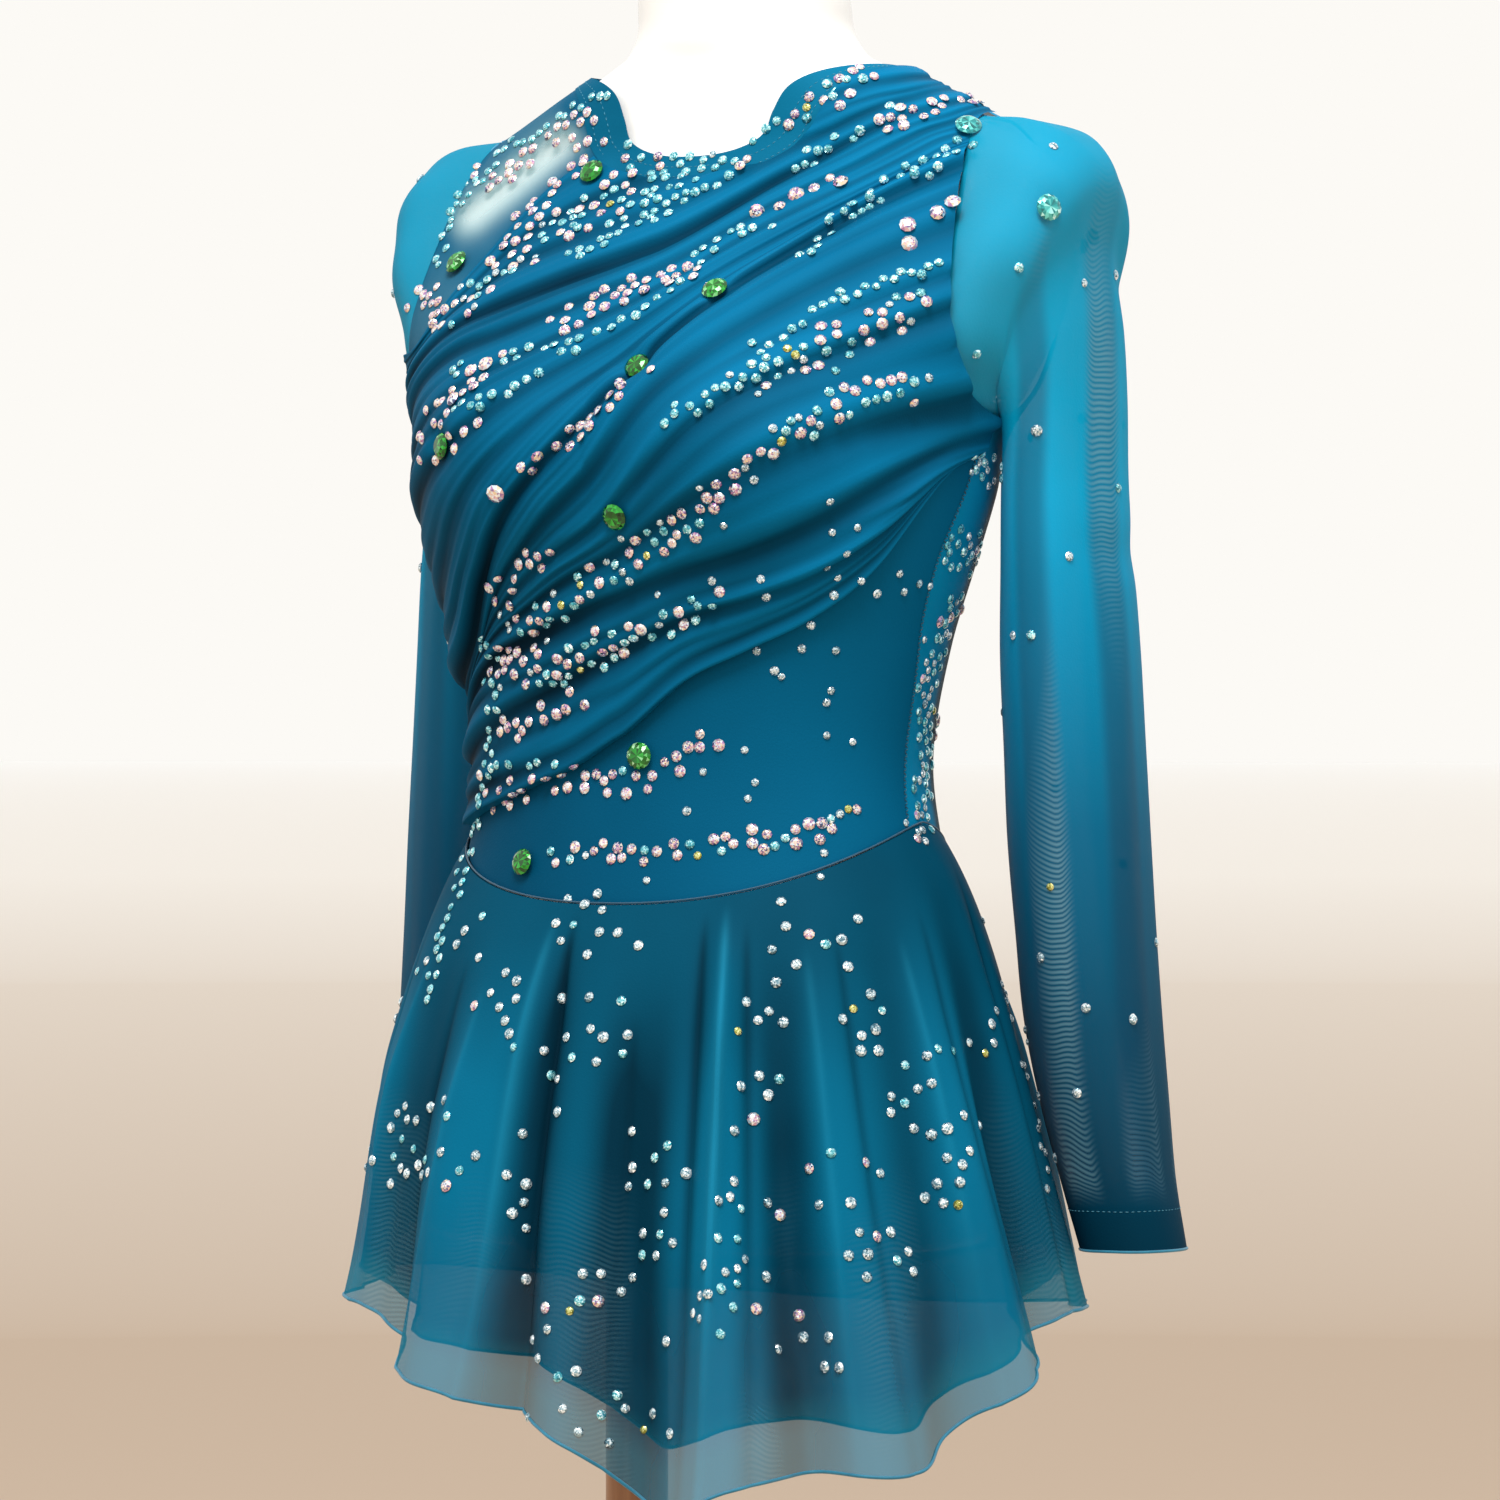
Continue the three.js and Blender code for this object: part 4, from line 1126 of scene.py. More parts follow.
def yoke_surface():
    """The sheer patch above the drape's upper edge, clearest along a band from the neck to the armhole, where
    its colour is also painted pale as a highlight.
    """
    (x0, y0), (x1, y1) = SHEER_HIGHLIGHT_BAND["from"], SHEER_HIGHLIGHT_BAND["to"]
    run = math.hypot(x1 - x0, y1 - y0)

    def sheer(angle, level):
        across, down = seen(torso(angle, level))[:2]
        along = ((across - x0) * (x1 - x0) + (down - y0) * (y1 - y0)) / run**2
        aside = ((across - x0) * (y1 - y0) - (down - y0) * (x1 - x0)) / run
        return bump(aside, SHEER_HIGHLIGHT_BAND["wide"]) * fade(along, -0.05, 0.15) * (1 - fade(along, 0.85, 1.1))

    return panel_surface(
        np.linspace(-96, -10, 110), np.linspace(0, 1, 90), lambda a: drape_level(a, np.full_like(a, 0.03)),
        lambda a: np.full_like(a, -1.0),
        [clear_of_armholes, before_side_seam, below_neckband], PANEL_OUT, sheer=sheer,
    )


def back_surface():
    """The back, a light strip beside each side seam and darker sheer mesh between."""
    behind = lambda a, l: -before_side_seam(a, l)
    sheer = lambda a, l: fade(a, 98, 106) * fade(360 - a, 98, 106)
    return panel_surface(
        np.linspace(70, 290, 260), 1 - (1 - np.linspace(0, 1, 140)) ** 1.6,
        waist_seam, lambda a: np.full_like(a, -1.0),
        [clear_of_armholes, behind, below_neckband], PANEL_OUT, sheer=sheer,
    )


def band_surface():
    """The neck binding, between the neck opening's oval and the binding's outer oval."""
    inside = lambda a, l: -outside_oval(a, l, NECK["band_across"], NECK["band_deep"])
    outside = lambda a, l: outside_oval(a, l, NECK["across"], NECK["deep"])
    return panel_surface(
        np.linspace(0, 360, 361), np.linspace(0, 1, 110), lambda a: np.full_like(a, -84.0),
        lambda a: np.full_like(a, 0.0), [inside, outside], BAND_OUT,
        lit=lambda a, l: lit_side(((a + 180) % 360) - 180),
    )


drape_shape = drape_surface()
front_shape = front_surface()
yoke_shape = yoke_surface()
back_shape = back_surface()
band_shape = band_surface()

drape = drape_shape.put("ruched_drape", drape_cloth)
front = front_shape.put("plain_front", panel_cloth)
yoke = yoke_shape.put("sheer_yoke", yoke_cloth)
back = back_shape.put("mesh_back", back_cloth)
band = band_shape.put("neck_binding", band_cloth)
for piece, node, slot in (
    (drape, "front_drape", "drape_mesh"),
    (front, "bodice_front", "bodice_cloth"),
    (yoke, "shoulder_yoke", "sheer_mesh"),
    (back, "bodice_back", "back_mesh"),
    (band, "neckband", "bodice_cloth"),
):
    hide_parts(node)


# The sleeves.


def sleeve_surface(side):
    """The sleeve with soft hanging folds: slow waves round it that drift as they fall."""
    turn, along = grid(np.linspace(0, 2 * np.pi, 132, endpoint=False), np.linspace(0, 1, 240) ** 1.08)
    surface = lambda t, a: sleeve_point(side, t, a)
    hang = fade(along, 0.12, 0.4) * (1 - 0.6 * fade(along, 0.93, 1))
    wave = 1.1 * np.sin(3 * turn + 5 * along + side) + 0.7 * np.sin(5 * turn - 9 * along)
    gather = 0.8 * fade(along, 0.02, 0.1) * (1 - fade(along, 0.16, 0.34)) * np.sin(9 * turn + 14 * along)
    crease = -1.5 * bump(along - 0.47 - 0.02 * np.cos(turn), 0.018) * fade(np.cos(turn + 0.6), -0.2, 0.9)
    out = SLEEVE_OUT + hang * (wave + crease) + gather
    out = under_stones(surface(turn, along), out)
    points = raised(surface, turn, along, side * out, 0.05, 0.004)
    seam = smooth(ARMHOLE["level"], ARMHOLE["x"], points[..., 2] - NECK_HEIGHT) + 0.2
    above = points[..., 2] > NECK_HEIGHT + ARMHOLE["level"][0]
    points[..., 0] = np.where(above, side * np.maximum(side * points[..., 0], seam), points[..., 0])
    drift = 5 * turn + 1.1 * np.sin(4.5 * along + 0.7) + 0.5 * np.sin(11 * along) + 0.4
    ridge = np.sin(drift) + 0.45 * fade(along, 0.5, 0.9)
    streak = fade(ridge, -0.3, 0.8) * fade(along, 0.14, 0.36) * (1 - fade(along, 0.93, 0.96))
    return Surface(points, wrap=True, along=along, hem=fade(along, 0.962, 0.967), streak=streak)


sleeve_shapes = {name: sleeve_surface(side) for name, side in (("left", 1), ("right", -1))}
for name, shape in sleeve_shapes.items():
    shape.put(f"{name}_sleeve", sleeve_cloth[name])
    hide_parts(f"sleeve_{name}")


# The skirts and briefs.


def hem_level(angle):
    return smooth(HEM["angle"], HEM["level"], np.where(angle > 180, angle - 360, angle))


def inner_hem_level(angle):
    return hem_level(angle) + 22 + 8 * np.sin(np.radians(3 * angle + 40))


def turn_from(angle, start):
    return (angle - start + 540) % 360 - 180


def flute_wave(angle):
    wave = np.zeros_like(angle)
    for at, wide, out in zip(FLUTES["angle"], FLUTES["wide"], FLUTES["out"]):
        wave = wave + out * bump(turn_from(angle, at), wide)
    return wave


def pleats(angle, drop):
    """Creases as sharp as a pressed fold, that start below the waist seam and lean as they fall."""
    folds = np.zeros(np.broadcast(angle, drop).shape)
    for at, lean, wide, out, start in zip(*PLEATS.values()):
        off = np.abs(turn_from(angle, at + lean * drop / SKIRT["full_drop"]))
        folds = folds + out * np.exp(-off / wide) * fade(drop, start, start + 70)
    return folds


def pressed_lines(angle, drop):
    """How much painted shade darkens each inward crease, and how much painted highlight lightens each outward
    fold's edge.

    Both fade towards the hem.
    """
    dark = np.zeros_like(drop)
    light = np.zeros_like(drop)
    for at, lean, _, out, start in zip(*PLEATS.values()):
        off = np.abs(turn_from(angle, at + lean * drop / SKIRT["full_drop"]))
        line = min(1, abs(out) / 9) * np.exp(-((off / 0.9) ** 2)) * fade(drop, start, start + 25)
        line = line * (1 - 0.6 * fade(drop, 110, 240))
        dark = np.maximum(dark, 0.75 * line if out < 0 else 0)
        light = np.maximum(light, 0.3 * line if out > 0 else 0)
    return dark, light


def skirt_point(angle, drop, seat, inset, wander):
    """The waist seam moved out by a flare, a quick swell over the hip, and flutes.

    The flutes grow with the drop.
    """
    top = torso_raised(angle, waist_seam(angle), seat)
    fullness = (drop / SKIRT["full_drop"]) ** 1.25
    hug = SKIRT_HUG["out"] * bump(turn_from(angle, SKIRT_HUG["angle"]), SKIRT_HUG["wide"])
    hug = hug * fade(drop, SKIRT_HUG["from"], SKIRT_HUG["to"])
    out = SKIRT["flare"] * drop + SKIRT["hip"] * (1 - np.exp(-drop / SKIRT["hip_fade"])) - hug
    ripple = 1.3 * np.sin(np.radians(23 * angle) + drop / 60 + wander)
    ripple = ripple + 0.9 * np.sin(np.radians(41 * angle) - drop / 45)
    sway = 2.2 * np.sin(drop / 55 + wander) * (drop / SKIRT["full_drop"])
    out = out + fullness * (flute_wave(angle + sway) - inset + ripple) + pleats(angle, drop)
    away = xyz(np.sin(np.radians(angle)), -np.cos(np.radians(angle)), 0)
    points = top + away * out[..., None]
    points[..., 2] = NECK_HEIGHT + waist_seam(angle) - drop
    return points


def skirt_surface(seat, inset, hem, wander):
    angle, share = grid(np.linspace(0, 360, 640, endpoint=False), np.linspace(0, 1, 84))
    drop = (waist_seam(angle) - hem(angle)) * share**1.05
    wave = flute_wave(angle)
    # ridge carries painted light and shade: high over the outward flutes and pleats, low in the inward ones,
    # and even near the waist.
    soft = fade(wave, -14, 18) * fade(share, 0.05, 0.5) + 0.4 * (1 - fade(share, 0.05, 0.5))
    ridge = np.clip(soft + 0.08 * pleats(angle, drop), 0, 1)
    points = skirt_point(angle, drop, seat, inset, wander)
    crease, edge = pressed_lines(angle, drop)
    return Surface(points, wrap=True, ridge=ridge, drop=share, crease=crease, fold_edge=edge)


def briefs_point(angle, down):
    """Down the hips from the waist seam, and past 1 in across the bottom to the middle."""
    top = waist_seam(angle) - 3.5
    level = mix(top, FORM_BOTTOM + 0.0 * angle, np.clip(down, 0, 1))
    points = torso_raised(angle, level, PANEL_OUT)
    inward = np.clip(down - 1, 0, 1)
    middle = np.array([0, 5, 0])
    scaled = points + (middle - points) * inward[..., None]
    points = np.concatenate([scaled[..., :2], points[..., 2:]], -1)
    points[..., 2] -= 3.4 * fade(inward, 0, 0.03)
    return points


def briefs_surface():
    def clear_of_legs(angle, down):
        x, y, z = np.moveaxis(briefs_point(angle, down), -1, 0)
        away = ((np.abs(x) - LEG_HOLE["x"]) / LEG_HOLE["across"]) ** 2 + (y / LEG_HOLE["deep"]) ** 2
        away = away + ((z - NECK_HEIGHT - LEG_HOLE["level"]) / LEG_HOLE["tall"]) ** 2
        return np.sqrt(away) - 1

    downs = np.concatenate([np.linspace(0, 1, 70), np.linspace(1.01, 1.995, 40)])
    angle, down = grid(np.linspace(0, 360, 201), downs)
    angle, down, stays = trimmed(angle, down, clear_of_legs)
    return Surface(briefs_point(angle, down), stays=stays, centre=np.array([0, 0, 700]))


outer_shape = skirt_surface(SKIRT["seat"], 0, hem_level, 0.0)
inner_shape = skirt_surface(SKIRT["inner_seat"], SKIRT["inner_inset"], inner_hem_level, 0.5)
outer_skirt = outer_shape.put("outer_skirt", outer_cloth)
inner_skirt = inner_shape.put("inner_skirt", inner_cloth)
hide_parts("skirt_outer")
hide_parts("skirt_inner")
briefs = briefs_surface().put("mesh_briefs", briefs_cloth)
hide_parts("briefs")


# Seam cords and stitching.


def crossing(us, vs, field):
    """For each u, the v at which the field first changes sign; a u with no such place is left out."""
    u, v = grid(us, vs)
    f = field(u, v)
    change = (f[:-1] > 0) != (f[1:] > 0)
    j = change.argmax(0)
    i = np.arange(f.shape[1])
    found = change.any(0)
    share = f[j, i] / np.where(found, f[j, i] - f[j + 1, i], 1)
    return u[0][found], mix(v[j, i], v[j + 1, i], share)[found]


def body_path(angle, level, out):
    on_body = torso(angle, level)
    return torso_raised(angle, level, out), unit(torso_raised(angle, level, 1.0) - on_body)


thread = thread_finish("teal thread", srgb(7, 62, 84))
pale_thread = thread_finish("light thread", srgb(70, 160, 190))
seam_cord = cord_finish("seam binding", srgb(2, 62, 88), srgb(3, 76, 106))
hem_cord = cord_finish("rolled hem", srgb(6, 92, 122), srgb(20, 132, 164))
sleeve_cord = cord_finish("sleeve seam", srgb(8, 104, 142), srgb(16, 140, 184))

trims = {"neck_binding": [], "mesh_back": [], "left_sleeve": [], "right_sleeve": []}
around = np.linspace(0, 360, 361)
for row, (across, deep) in enumerate(((90.2, 64.2), (86.8, 61.2))):
    angle, level = crossing(around, np.linspace(-84, 0, 120), lambda a, l: outside_oval(a, l, across, deep))
    path, normals = body_path(angle, level, BAND_OUT)
    row_of_stitches = stitches(f"neck_stitches_{row + 1}", path, normals, 3.4, 2.5, 0.42, pale_thread)
    trims["neck_binding"].append(row_of_stitches)

seam_level, seam_angle = crossing(
    np.linspace(-388, -204, 90), np.linspace(60, 120, 200), lambda l, a: before_side_seam(a, l)
)
for side, turned in (("left", 1), ("right", -1)):
    path, normals = body_path(turned * seam_angle, seam_level, PANEL_OUT + 0.5)
    seam_stitches = stitches(f"{side}_side_seam", path, normals, 1.7, 2.9, 0.5, thread, swing=1.6)
    trims["mesh_back"].append(seam_stitches)

for name, shape in sleeve_shapes.items():
    rows = len(shape.points)
    stitch_row = round((0.964 ** (1 / 1.08)) * (rows - 1))
    pieces = trims[f"{name}_sleeve"]
    top, foot = (shape.points[0], shape.normals[0]), (shape.points[-1], shape.normals[-1])
    pieces.append(tube(f"{name}_armhole_cord", *top, 0.85, sleeve_cord, closed=True))
    pieces.append(tube(f"{name}_cuff_edge", *foot, 0.75, hem_cord, closed=True))
    pieces.append(stitches(
        f"{name}_cuff_stitches", shape.points[stitch_row], shape.normals[stitch_row],
        3.0, 2.2, 0.45, pale_thread,
    ))

waist_angle = np.linspace(0, 360, 361)[:-1]
path, normals = body_path(waist_angle, waist_seam(waist_angle) + 0.4, SKIRT["seat"] - 0.5)
waist_cord = tube("waist_seam_cord", path, normals, 0.45, seam_cord, closed=True)
outer_hem, inner_hem = (
    tube(f"{name}_hem_roll", shape.points[-1], shape.normals[-1], 0.9, hem_cord, closed=True)
    for name, shape in (("outer", outer_shape), ("inner", inner_shape))
)


# Stones.

ab_stone = stone_finish(
    "rainbow crystal",
    (0.0, srgb(20, 20, 52)),
    (0.14, srgb(84, 104, 148)),
    (0.28, srgb(186, 132, 186)),
    (0.42, srgb(238, 198, 204)),
    (0.55, srgb(250, 226, 186)),
    (0.75, srgb(214, 230, 244)),
    (1.0, srgb(255, 255, 252)),
    painted_glint=0.15,
)
aqua_stone = stone_finish(
    "light aqua crystal",
    (0.0, srgb(6, 96, 120)),
    (0.35, srgb(54, 172, 190)),
    (0.7, srgb(160, 226, 232)),
    (1.0, srgb(248, 255, 255)),
    painted_glint=0.4,
)
clear_stone = stone_finish(
    "clear crystal", (0.0, srgb(24, 62, 80)), (0.3, srgb(110, 156, 174)), (0.6, srgb(206, 226, 232)),
    (1.0, srgb(255, 255, 255)), painted_glint=0.4,
)
citrine_stone = stone_finish(
    "citrine crystal",
    (0.0, srgb(60, 60, 16)), (0.45, srgb(176, 178, 60)), (1.0, srgb(250, 250, 190)), painted_glint=0.25,
)
green_large = stone_finish(
    "large green crystal", (0.0, srgb(0, 34, 6)), (0.45, srgb(2, 104, 16)), (0.8, srgb(34, 176, 50)),
    (1.0, srgb(210, 255, 214)), metallic=0.5, painted_glint=0.12,
)
aqua_large = stone_finish(
    "large aqua crystal", (0.0, srgb(4, 78, 84)), (0.4, srgb(24, 158, 160)), (0.75, srgb(110, 222, 214)),
    (1.0, srgb(236, 255, 252)), metallic=0.45, painted_glint=0.2,
)
dice = np.random.default_rng(29)


def cut_shape(sides, rings):
    """Facets through rings of (radius, height, half steps of turn), with a fan for the flat top."""
    radius, height, turned = np.array(rings, float).T
    turn = 2 * np.pi * (np.arange(sides) + turned[:, None] / 2) / sides
    points = xyz(radius[:, None] * np.cos(turn), radius[:, None] * np.sin(turn), height[:, None])
    points = np.concatenate([points.reshape(-1, 3), [[0, 0, height[-1]]]])
    i = np.arange(sides)
    after = (i + 1) % sides
    facets = []
    for k in range(len(rings) - 1):
        low = k * sides
        high = low + sides
        facets.append(np.stack([low + i, low + after, high + i], 1))
        facets.append(np.stack([low + after, high + after, high + i], 1))
    facets.append(np.stack([high + i, high + after, np.full(sides, len(points) - 1)], 1))
    return points, np.concatenate(facets)


SMALL_CUT = cut_shape(10, [(0.94, 0, 0), (1, 0.14, 0), (0.66, 0.46, 1), (0.42, 0.54, 2)])
LARGE_CUT = cut_shape(16, [
    (LARGE_STONE["foot"], 0, 0),
    (LARGE_STONE["girdle"], LARGE_STONE["girdle_height"], 0),
    (LARGE_STONE["girdle"], LARGE_STONE["girdle_height"] + 0.4, 0),
    (5.5, 3.9, 1),
    (LARGE_STONE["table"], LARGE_STONE["height"], 2),
])


def put_stones(name, cut, places, normals, sizes, material):
    """Copies of a cut stone, each turned to its normal, with its own spin and facet tints."""
    shape, facets = cut
    level_with = np.where(np.abs(normals[:, 2:]) > 0.9, [[1.0, 0, 0]], [[0, 0, 1.0]])
    side = unit(np.cross(level_with, normals))
    up = np.cross(normals, side)
    spin = dice.uniform(0, 2 * np.pi, (len(places), 1))
    first = side * np.cos(spin) + up * np.sin(spin)
    second = np.cross(normals, first)
    frame_of = np.stack([first, second, normals], 1)
    points = places[:, None] + sizes[:, None, None] * np.einsum("pk,nkc->npc", shape, frame_of)
    faces = facets[None] + len(shape) * np.arange(len(places))[:, None, None]
    tints = 0.78 * dice.uniform(0, 1, (len(places), len(facets)))
    tints = tints + 0.22 * dice.uniform(0, 1, (len(places), 1))
    return put_mesh(
        name, points.reshape(-1, 3), faces.reshape(-1, 3), material, flat=True, tints=tints.ravel()
    )


# The large stones stand where the CAD's do.
for stone in LARGE:
    place = stone["centre"] - stone["normal"] * LARGE_STONE["girdle_height"]
    glass = green_large if "green" in stone["node"] else aqua_large
    piece = put_stones(
        f"{stone['node']}_cut", LARGE_CUT, place[None], stone["normal"][None], np.ones(1), glass
    )
    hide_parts(stone["node"])
    "green_glass" if "green" in stone["node"] else "aqua_glass"


cloths = [drape_shape, front_shape, yoke_shape, back_shape, band_shape, outer_shape]
cloths += sleeve_shapes.values()
cloth_points, cloth_normals = (np.concatenate(part) for part in zip(*(shape.kept() for shape in cloths)))
across, down, away, toward = seen(cloth_points)
facing = cloth_normals @ toward > 0.1
view = {
    "points": cloth_points[facing],
    "normals": cloth_normals[facing],
    "across": across[facing],
    "down": down[facing],
    "away": away[facing],
}


def under_pixel(x, y):
    """The front cloth's point under a place in the photo, or none outside the garment."""
    off = np.hypot(view["across"] - x, view["down"] - y)
    near = np.flatnonzero(off < 7)
    if not len(near):
        return None
    front = near[view["away"][near] < view["away"][near].min() + 14]
    best = front[off[front].argmin()]
    return view["points"][best], view["normals"][best]


def nearest_cloth(point):
    best = np.linalg.norm(cloth_points - point, axis=1).argmin()
    return cloth_points[best], cloth_normals[best]


# Sizes of the stones' radii in millimetres, and how often a mixed trail takes each kind.
KINDS = {
    "ab": (2.5, 3.3),
    "big": (3.8, 4.8),
    "aqua": (2.2, 2.8),
    "clear": (1.9, 2.4),
    "drop": (2.3, 3.0),
    "citrine": (2.0, 2.6),
}
MIXES = {
    "mix": (("ab", "aqua", "clear", "citrine"), (0.52, 0.34, 0.09, 0.05)),
    "bold": (("big", "ab"), (0.45, 0.55)),
    "cool": (("aqua", "clear", "ab"), (0.6, 0.28, 0.12)),
    "sparse": (("drop", "aqua", "ab", "citrine"), (0.7, 0.2, 0.06, 0.04)),
}
CROWDING = 2.3
SPREAD = 1.8
LOOSE = 2.0
settings = {kind: [] for kind in KINDS}
taken = [np.append(stone["centre"], LARGE_STONE["girdle"]) for stone in LARGE]


def set_stone(kind, found, gap=-0.1):
    """Sets a stone of a kind on the cloth, unless it would lie closer than the gap to another."""
    if found is None:
        return
    if kind in MIXES:
        kind = str(dice.choice(MIXES[kind][0], p=MIXES[kind][1]))
    point, normal = found
    size = dice.uniform(*KINDS[kind])
    others = np.array(taken)
    clear = np.linalg.norm(others[:, :3] - point, axis=1) - others[:, 3] - size
    if clear.min() < gap:
        return
    taken.append(np.append(point, size))
    settings[kind].append((point + normal * 0.1, normal, size))


def along_line(corners, count, wide):
    """Places strewn along a line of corners, each a little off it."""
    corners = np.array(corners, float)
    step = np.concatenate([[0], np.linalg.norm(np.diff(corners, axis=0), axis=1).cumsum()])
    at = (np.arange(count) + 0.5 + dice.uniform(-0.3, 0.3, count)) * step[-1] / count
    places = np.stack([np.interp(at, step, corners[:, k]) for k in range(corners.shape[1])], 1)
    return places + dice.uniform(-0.5, 0.5, places.shape) * wide


def around_spot(middle, count, wide):
    return np.array(middle, float) + np.clip(dice.normal(0, 0.5, (count, len(middle))), -1, 1) * wide


# Trails read off the photo: kind, how many, how wide, then its corners in the photo's pixels.
TRAILS = (
    ("aqua", 30, 5, (607, 92), (507, 150), (470, 188), (448, 215), (446, 244), (436, 268)),
    ("ab", 30, 14, (590, 112), (520, 152), (476, 188)),
    ("ab", 24, 10, (601, 133), (570, 164), (555, 191), (516, 225), (504, 234)),
    ("mix", 42, 14, (637, 157), (611, 198), (531, 242), (507, 266), (473, 297), (441, 324)),
    ("aqua", 46, 18, (732, 167), (642, 193), (599, 210), (565, 230)),
    ("aqua", 22, 8, (679, 203), (647, 220), (625, 230), (594, 247), (565, 256)),
    ("mix", 42, 12, (633, 155), (691, 159), (737, 142), (756, 135), (809, 110), (877, 68)),
    ("ab", 8, 6, (717, 175), (750, 163)),
    ("ab", 28, 12, (553, 334), (584, 314), (618, 290), (659, 278), (700, 271)),
    ("aqua", 15, 4, (565, 341), (608, 327), (637, 312), (667, 293), (688, 281)),
    ("bold", 10, 8, (429, 416), (448, 397), (473, 382), (497, 353)),
    ("aqua", 14, 6, (448, 375), (519, 351), (584, 344)),
    ("aqua", 12, 5, (456, 409), (516, 385), (538, 370)),
    ("ab", 9, 8, (579, 431), (618, 385), (657, 358)),
    ("bold", 12, 8, (525, 469), (558, 446), (579, 428), (599, 413)),
    ("aqua", 17, 12, (671, 416), (715, 397), (751, 382), (764, 348), (780, 334)),
    ("mix", 46, 20, (731, 385), (784, 360), (832, 349), (857, 329), (882, 321), (919, 301)),
    ("aqua", 17, 5, (765, 349), (790, 329), (835, 298), (866, 290), (880, 279), (938, 264)),
    ("mix", 112, 16, (510, 627), (558, 609), (589, 584), (630, 563), (653, 543), (678, 530),
     (714, 499), (749, 464), (783, 438), (832, 408), (857, 391), (896, 385), (930, 388)),
    ("ab", 20, 14, (497, 601), (512, 579), (528, 563), (551, 553)),
    ("mix", 34, 14, (487, 670), (522, 650), (589, 645), (635, 632), (668, 622), (691, 609), (709, 594)),
    ("mix", 20, 12, (492, 681), (558, 675), (591, 660), (624, 647)),
    ("ab", 14, 12, (499, 732), (533, 724), (563, 709), (579, 696)),
    ("ab", 46, 14, (487, 798), (522, 790), (584, 778), (622, 785), (658, 772), (683, 757), (716, 744)),
    ("aqua", 14, 5, (492, 765), (553, 767), (612, 772), (645, 767)),
    ("mix", 42, 12, (560, 855), (600, 850), (650, 852), (720, 845), (800, 835), (860, 815)),
    ("ab", 26, 10, (880, 124), (896, 119), (938, 102), (981, 93)),
    ("aqua", 14, 8, (793, 166), (818, 152), (857, 130), (896, 110)),
    ("bold", 9, 8, (750, 214), (781, 203), (807, 186), (840, 175)),
    ("aqua", 30, 12, (807, 250), (837, 225), (868, 206), (885, 180), (919, 169), (953, 155), (969, 138)),
    ("cool", 60, 9, (956, 601), (935, 654), (924, 688), (926, 728), (921, 782), (926, 840)),
    ("aqua", 7, 6, (771, 231), (729, 232), (697, 256), (700, 270)),
    ("aqua", 34, 6, (483, 634), (496, 688), (485, 772), (479, 826), (462, 872), (444, 930), (425, 1010)),
    ("clear", 14, 5, (985, 905), (1004, 960), (1020, 1030), (1036, 1110), (1050, 1190)),
)

# Clusters read off the photo: kind, how many, how wide, then the middle in the photo's pixels.
CLUSTERS = (
    ("ab", 28, 30, (448, 430)),
    ("ab", 16, 24, (431, 300)),
    ("bold", 32, 24, (502, 670)),
    ("ab", 22, 20, (495, 780)),
    ("big", 1, 1, (496, 494)),
    ("big", 1, 1, (909, 223)),
    ("big", 1, 1, (938, 211)),
    ("big", 1, 1, (952, 200)),
    ("big", 1, 1, (910, 242)),
    ("cool", 34, 16, (985, 470)),
    ("cool", 56, 24, (966, 552)),
    ("clear", 34, 190, (775, 715)),
    ("clear", 16, 90, (865, 560)),
)

# Where the skirt's little groups lie: their middle in the photo's pixels and how many stones each has.
SKIRT_GROUPS = table(
    "x y count",
    (580, 925, 7),
    (610, 930, 3),
    (480, 935, 2),
    (490, 1005, 6),
    (530, 1050, 2),
    (590, 1010, 3),
    (600, 1050, 3),
    (785, 912, 2),
    (825, 940, 3),
    (770, 1015, 5),
    (870, 1025, 5),
    (805, 960, 2),
    (755, 1105, 8),
    (925, 1075, 4),
    (915, 1100, 5),
    (640, 1150, 3),
    (660, 1180, 5),
    (555, 1100, 2),
    (850, 1160, 2),
    (800, 1195, 2),
    (865, 1235, 6),
    (720, 1200, 4),
    (730, 1260, 5),
    (745, 1290, 4),
    (660, 1240, 3),
    (590, 1300, 5),
    (545, 1310, 5),
    (620, 1285, 3),
    (400, 1160, 5),
    (420, 1175, 4),
    (435, 1100, 3),
    (445, 1165, 3),
    (500, 1210, 3),
    (940, 1185, 4),
    (985, 1040, 3),
    (960, 1145, 4),
    (885, 1265, 3),
    (810, 1340, 3),
    (700, 1330, 3),
    (640, 1420, 3),
    (560, 1390, 3),
    (600, 1420, 4),
)
SLEEVE_SPOTS = (
    (1085, 283), (1115, 275), (977, 352), (1036, 430),
    (1030, 637), (1050, 885), (1042, 960), (1085, 1010),
)

for kind, count, wide, *corners in TRAILS:
    for x, y in along_line(corners, round(count * CROWDING), wide * SPREAD):
        set_stone(kind, under_pixel(x, y))
for kind, count, wide, middle in CLUSTERS:
    for x, y in around_spot(middle, count, wide):
        set_stone(kind, under_pixel(x, y))
for x, y, count in zip(*SKIRT_GROUPS.values()):
    for spot in around_spot((x, y), round(count * 1.9), 32):
        set_stone("sparse", under_pixel(*spot), LOOSE)
for spot in SLEEVE_SPOTS:
    set_stone("sparse", under_pixel(*spot))

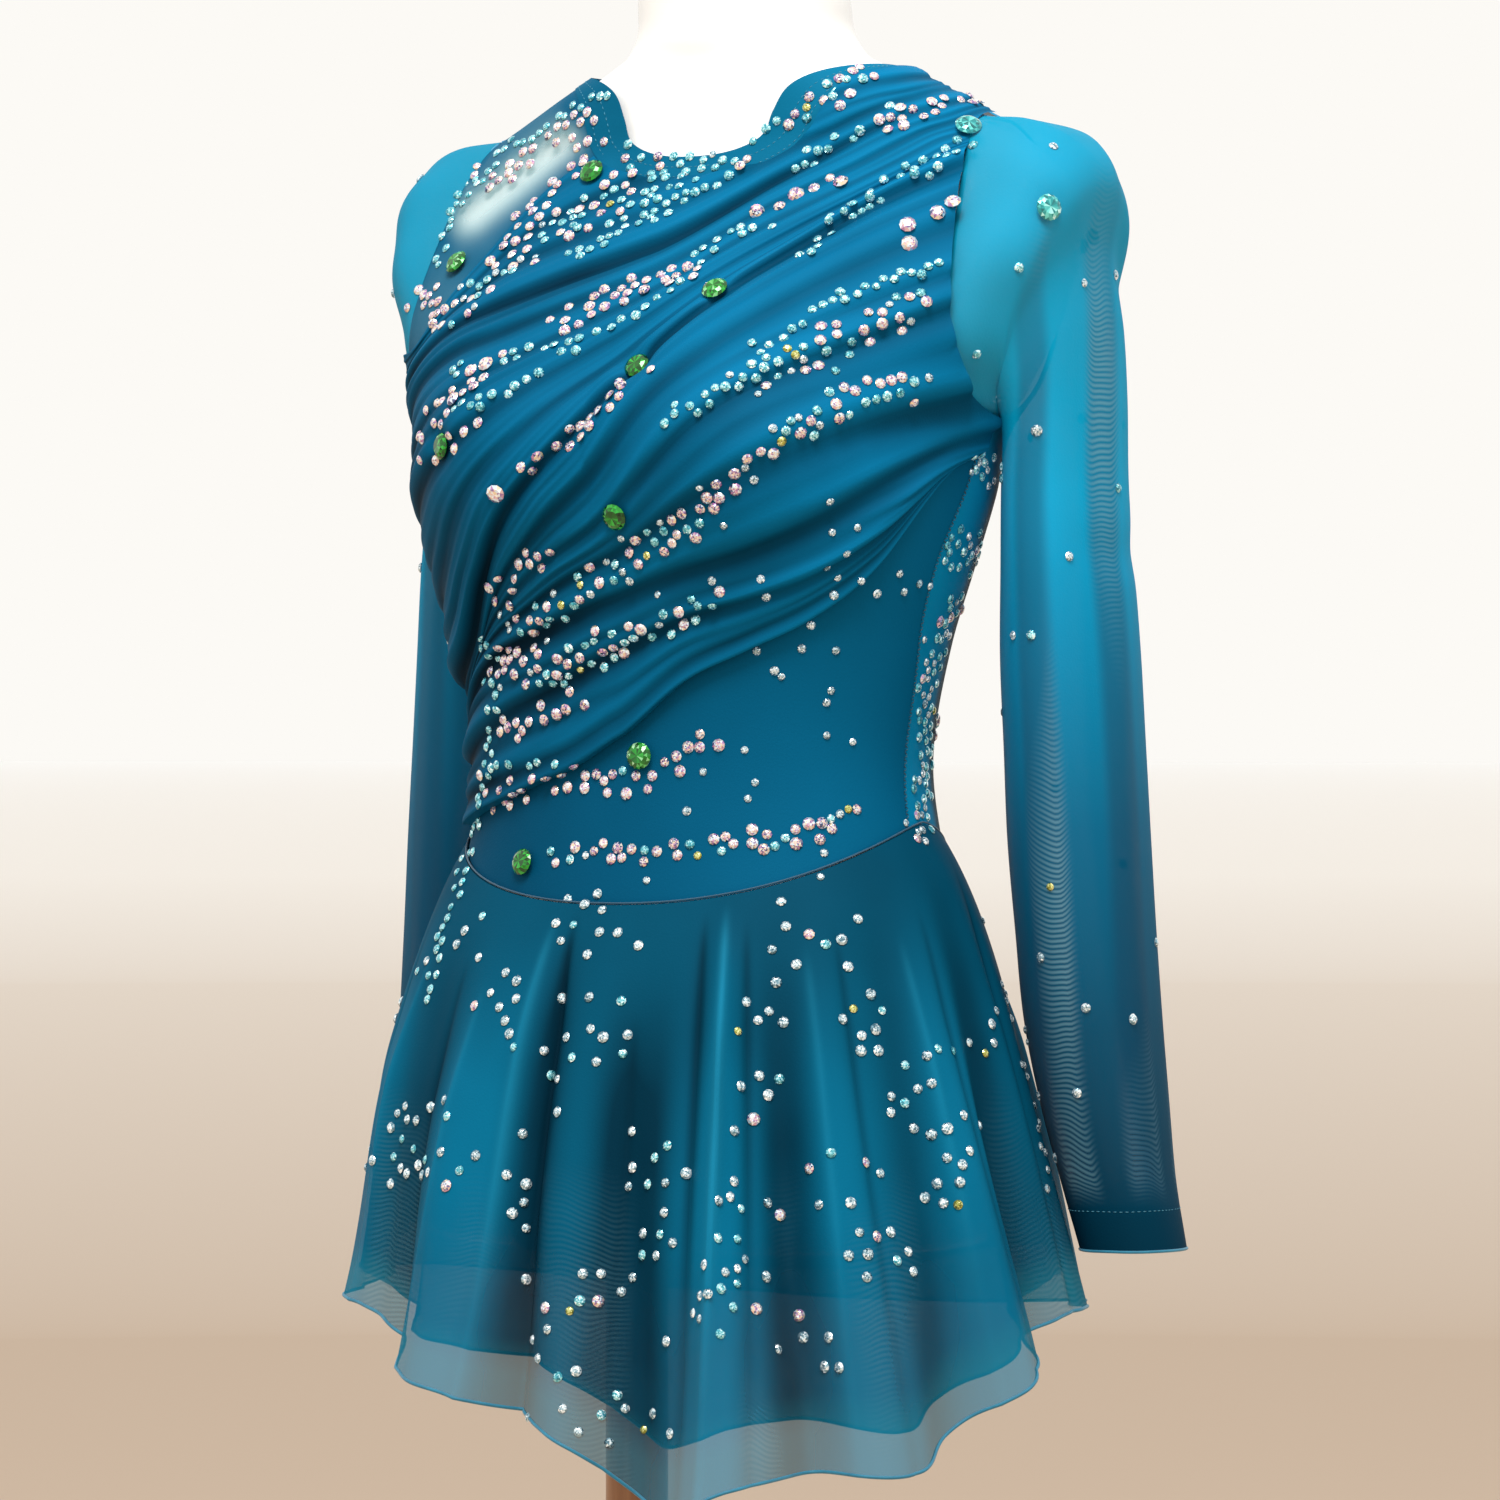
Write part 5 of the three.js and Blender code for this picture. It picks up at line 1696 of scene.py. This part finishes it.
# The sides and back, out of the photo's sight, in the same manner: angles and levels on the body.
HIDDEN_TRAILS = (
    ("mix", 34, 5, (128, -130), (140, -175), (158, -205), (182, -220)),
    ("ab", 26, 4, (232, -130), (220, -180), (203, -210), (180, -222)),
    ("mix", 36, 4, (100, -330), (130, -352), (160, -376), (188, -392)),
    ("aqua", 24, 4, (256, -352), (228, -372), (200, -388)),
    ("bold", 16, 6, (124, -90), (140, -118), (156, -150)),
)
for kind, count, wide, *corners in HIDDEN_TRAILS:
    for angle, level in along_line(corners, count, wide):
        set_stone(kind, nearest_cloth(torso_raised(angle, level, PANEL_OUT)))
for angle, share in zip(np.arange(128, 318, 7.3), np.tile([0.22, 0.55, 0.8, 0.38, 0.68], 6)):
    drop = (waist_seam(angle) - hem_level(np.array(angle))) * share
    middle = skirt_point(np.array(angle), drop, SKIRT["seat"], 0, 0)
    for spot in around_spot(middle, 4, 9):
        set_stone("sparse", nearest_cloth(spot), LOOSE)
for side in (1, -1):
    for turn, along in zip(np.linspace(0.4, 15, 16), np.linspace(0.12, 0.92, 16)):
        set_stone("sparse", nearest_cloth(sleeve_point(side, np.array(turn), np.array(along))))

FINISHES = {
    "ab": ab_stone,
    "big": ab_stone,
    "aqua": aqua_stone,
    "clear": clear_stone,
    "drop": clear_stone,
    "citrine": citrine_stone,
}
for kind, chosen in settings.items():
    places, normals, sizes = (np.array(column) for column in zip(*chosen))
    piece = put_stones(f"{kind}_stones", SMALL_CUT, places, normals, sizes, FINISHES[kind])


# The camera stands where the photo's did.

turn = math.radians(CAMERA["azimuth"])
lens = bpy.data.cameras.new("camera")
lens.sensor_width = 36
lens.lens = CAMERA["focal"] / (2 * CAMERA["middle"]) * 36
lens.clip_end = 1000
camera = bpy.data.objects.new("camera", lens)
camera.location = (
    (CAMERA["distance"] * math.sin(turn) + CAMERA["aside"] * math.cos(turn)) * MM,
    (CAMERA["aside"] * math.sin(turn) - CAMERA["distance"] * math.cos(turn)) * MM,
    CAMERA["height"] * MM,
)
camera.rotation_euler = (math.pi / 2, 0, turn)
bpy.context.scene.collection.objects.link(camera)
bpy.context.scene.camera = camera


# Light, and a plain floor that pales into the distance.


def area_light(name, azimuth, elevation, distance, size, power, colour):
    """A square light round the bodice's middle, facing it."""
    light = bpy.data.lights.new(name, "AREA")
    light.size = size
    light.energy = power
    light.color = colour
    a = math.radians(azimuth)
    e = math.radians(elevation)
    away = np.array([math.sin(a) * math.cos(e), -math.cos(a) * math.cos(e), math.sin(e)])
    holder = bpy.data.objects.new(name, light)
    holder.location = away * distance + [0, 0, 0.95]
    holder.rotation_euler = (math.pi / 2 - e, 0, a)
    bpy.context.scene.collection.objects.link(holder)


area_light("key", 24, 56, 2.4, 1.1, 60, (1.0, 0.98, 0.95))

world = bpy.data.worlds.new("soft daylight")
bpy.context.scene.world = world
world.use_nodes = True
world.node_tree.nodes["Background"].inputs["Color"].default_value = (0.975, 0.955, 0.915, 1.0)
world.node_tree.nodes["Background"].inputs["Strength"].default_value = 1.0


def floor_finish():
    finish = Finish("pale floor", roughness=0.85, specular_ior_level=0.1)
    square = finish.place()
    far = Value(finish, finish.node("VectorMath", {"operation": "LENGTH"}, {0: square}).outputs["Value"])
    near = finish.blend(srgb(201, 180, 160), srgb(243, 235, 226), far.between(6, 40) ** 0.5)
    finish.give(base_color=finish.blend(near, (1.0, 1.0, 1.0, 1.0), far.between(20, 390) ** 0.4))
    return finish.material


FLOOR_HALF = 400000
corner = np.array([(-1, -1, 0), (1, -1, 0), (1, 1, 0), (-1, 1, 0)]) * float(FLOOR_HALF)
mesh = bpy.data.meshes.new("floor")
mesh.from_pydata((corner * MM - [0, 0, 0.0005]).tolist(), [], [(0, 1, 2, 3)])
mesh.materials.append(floor_finish())
floor = bpy.data.objects.new("floor", mesh)
bpy.context.scene.collection.objects.link(floor)

bpy.context.scene.view_settings.view_transform = "Standard"
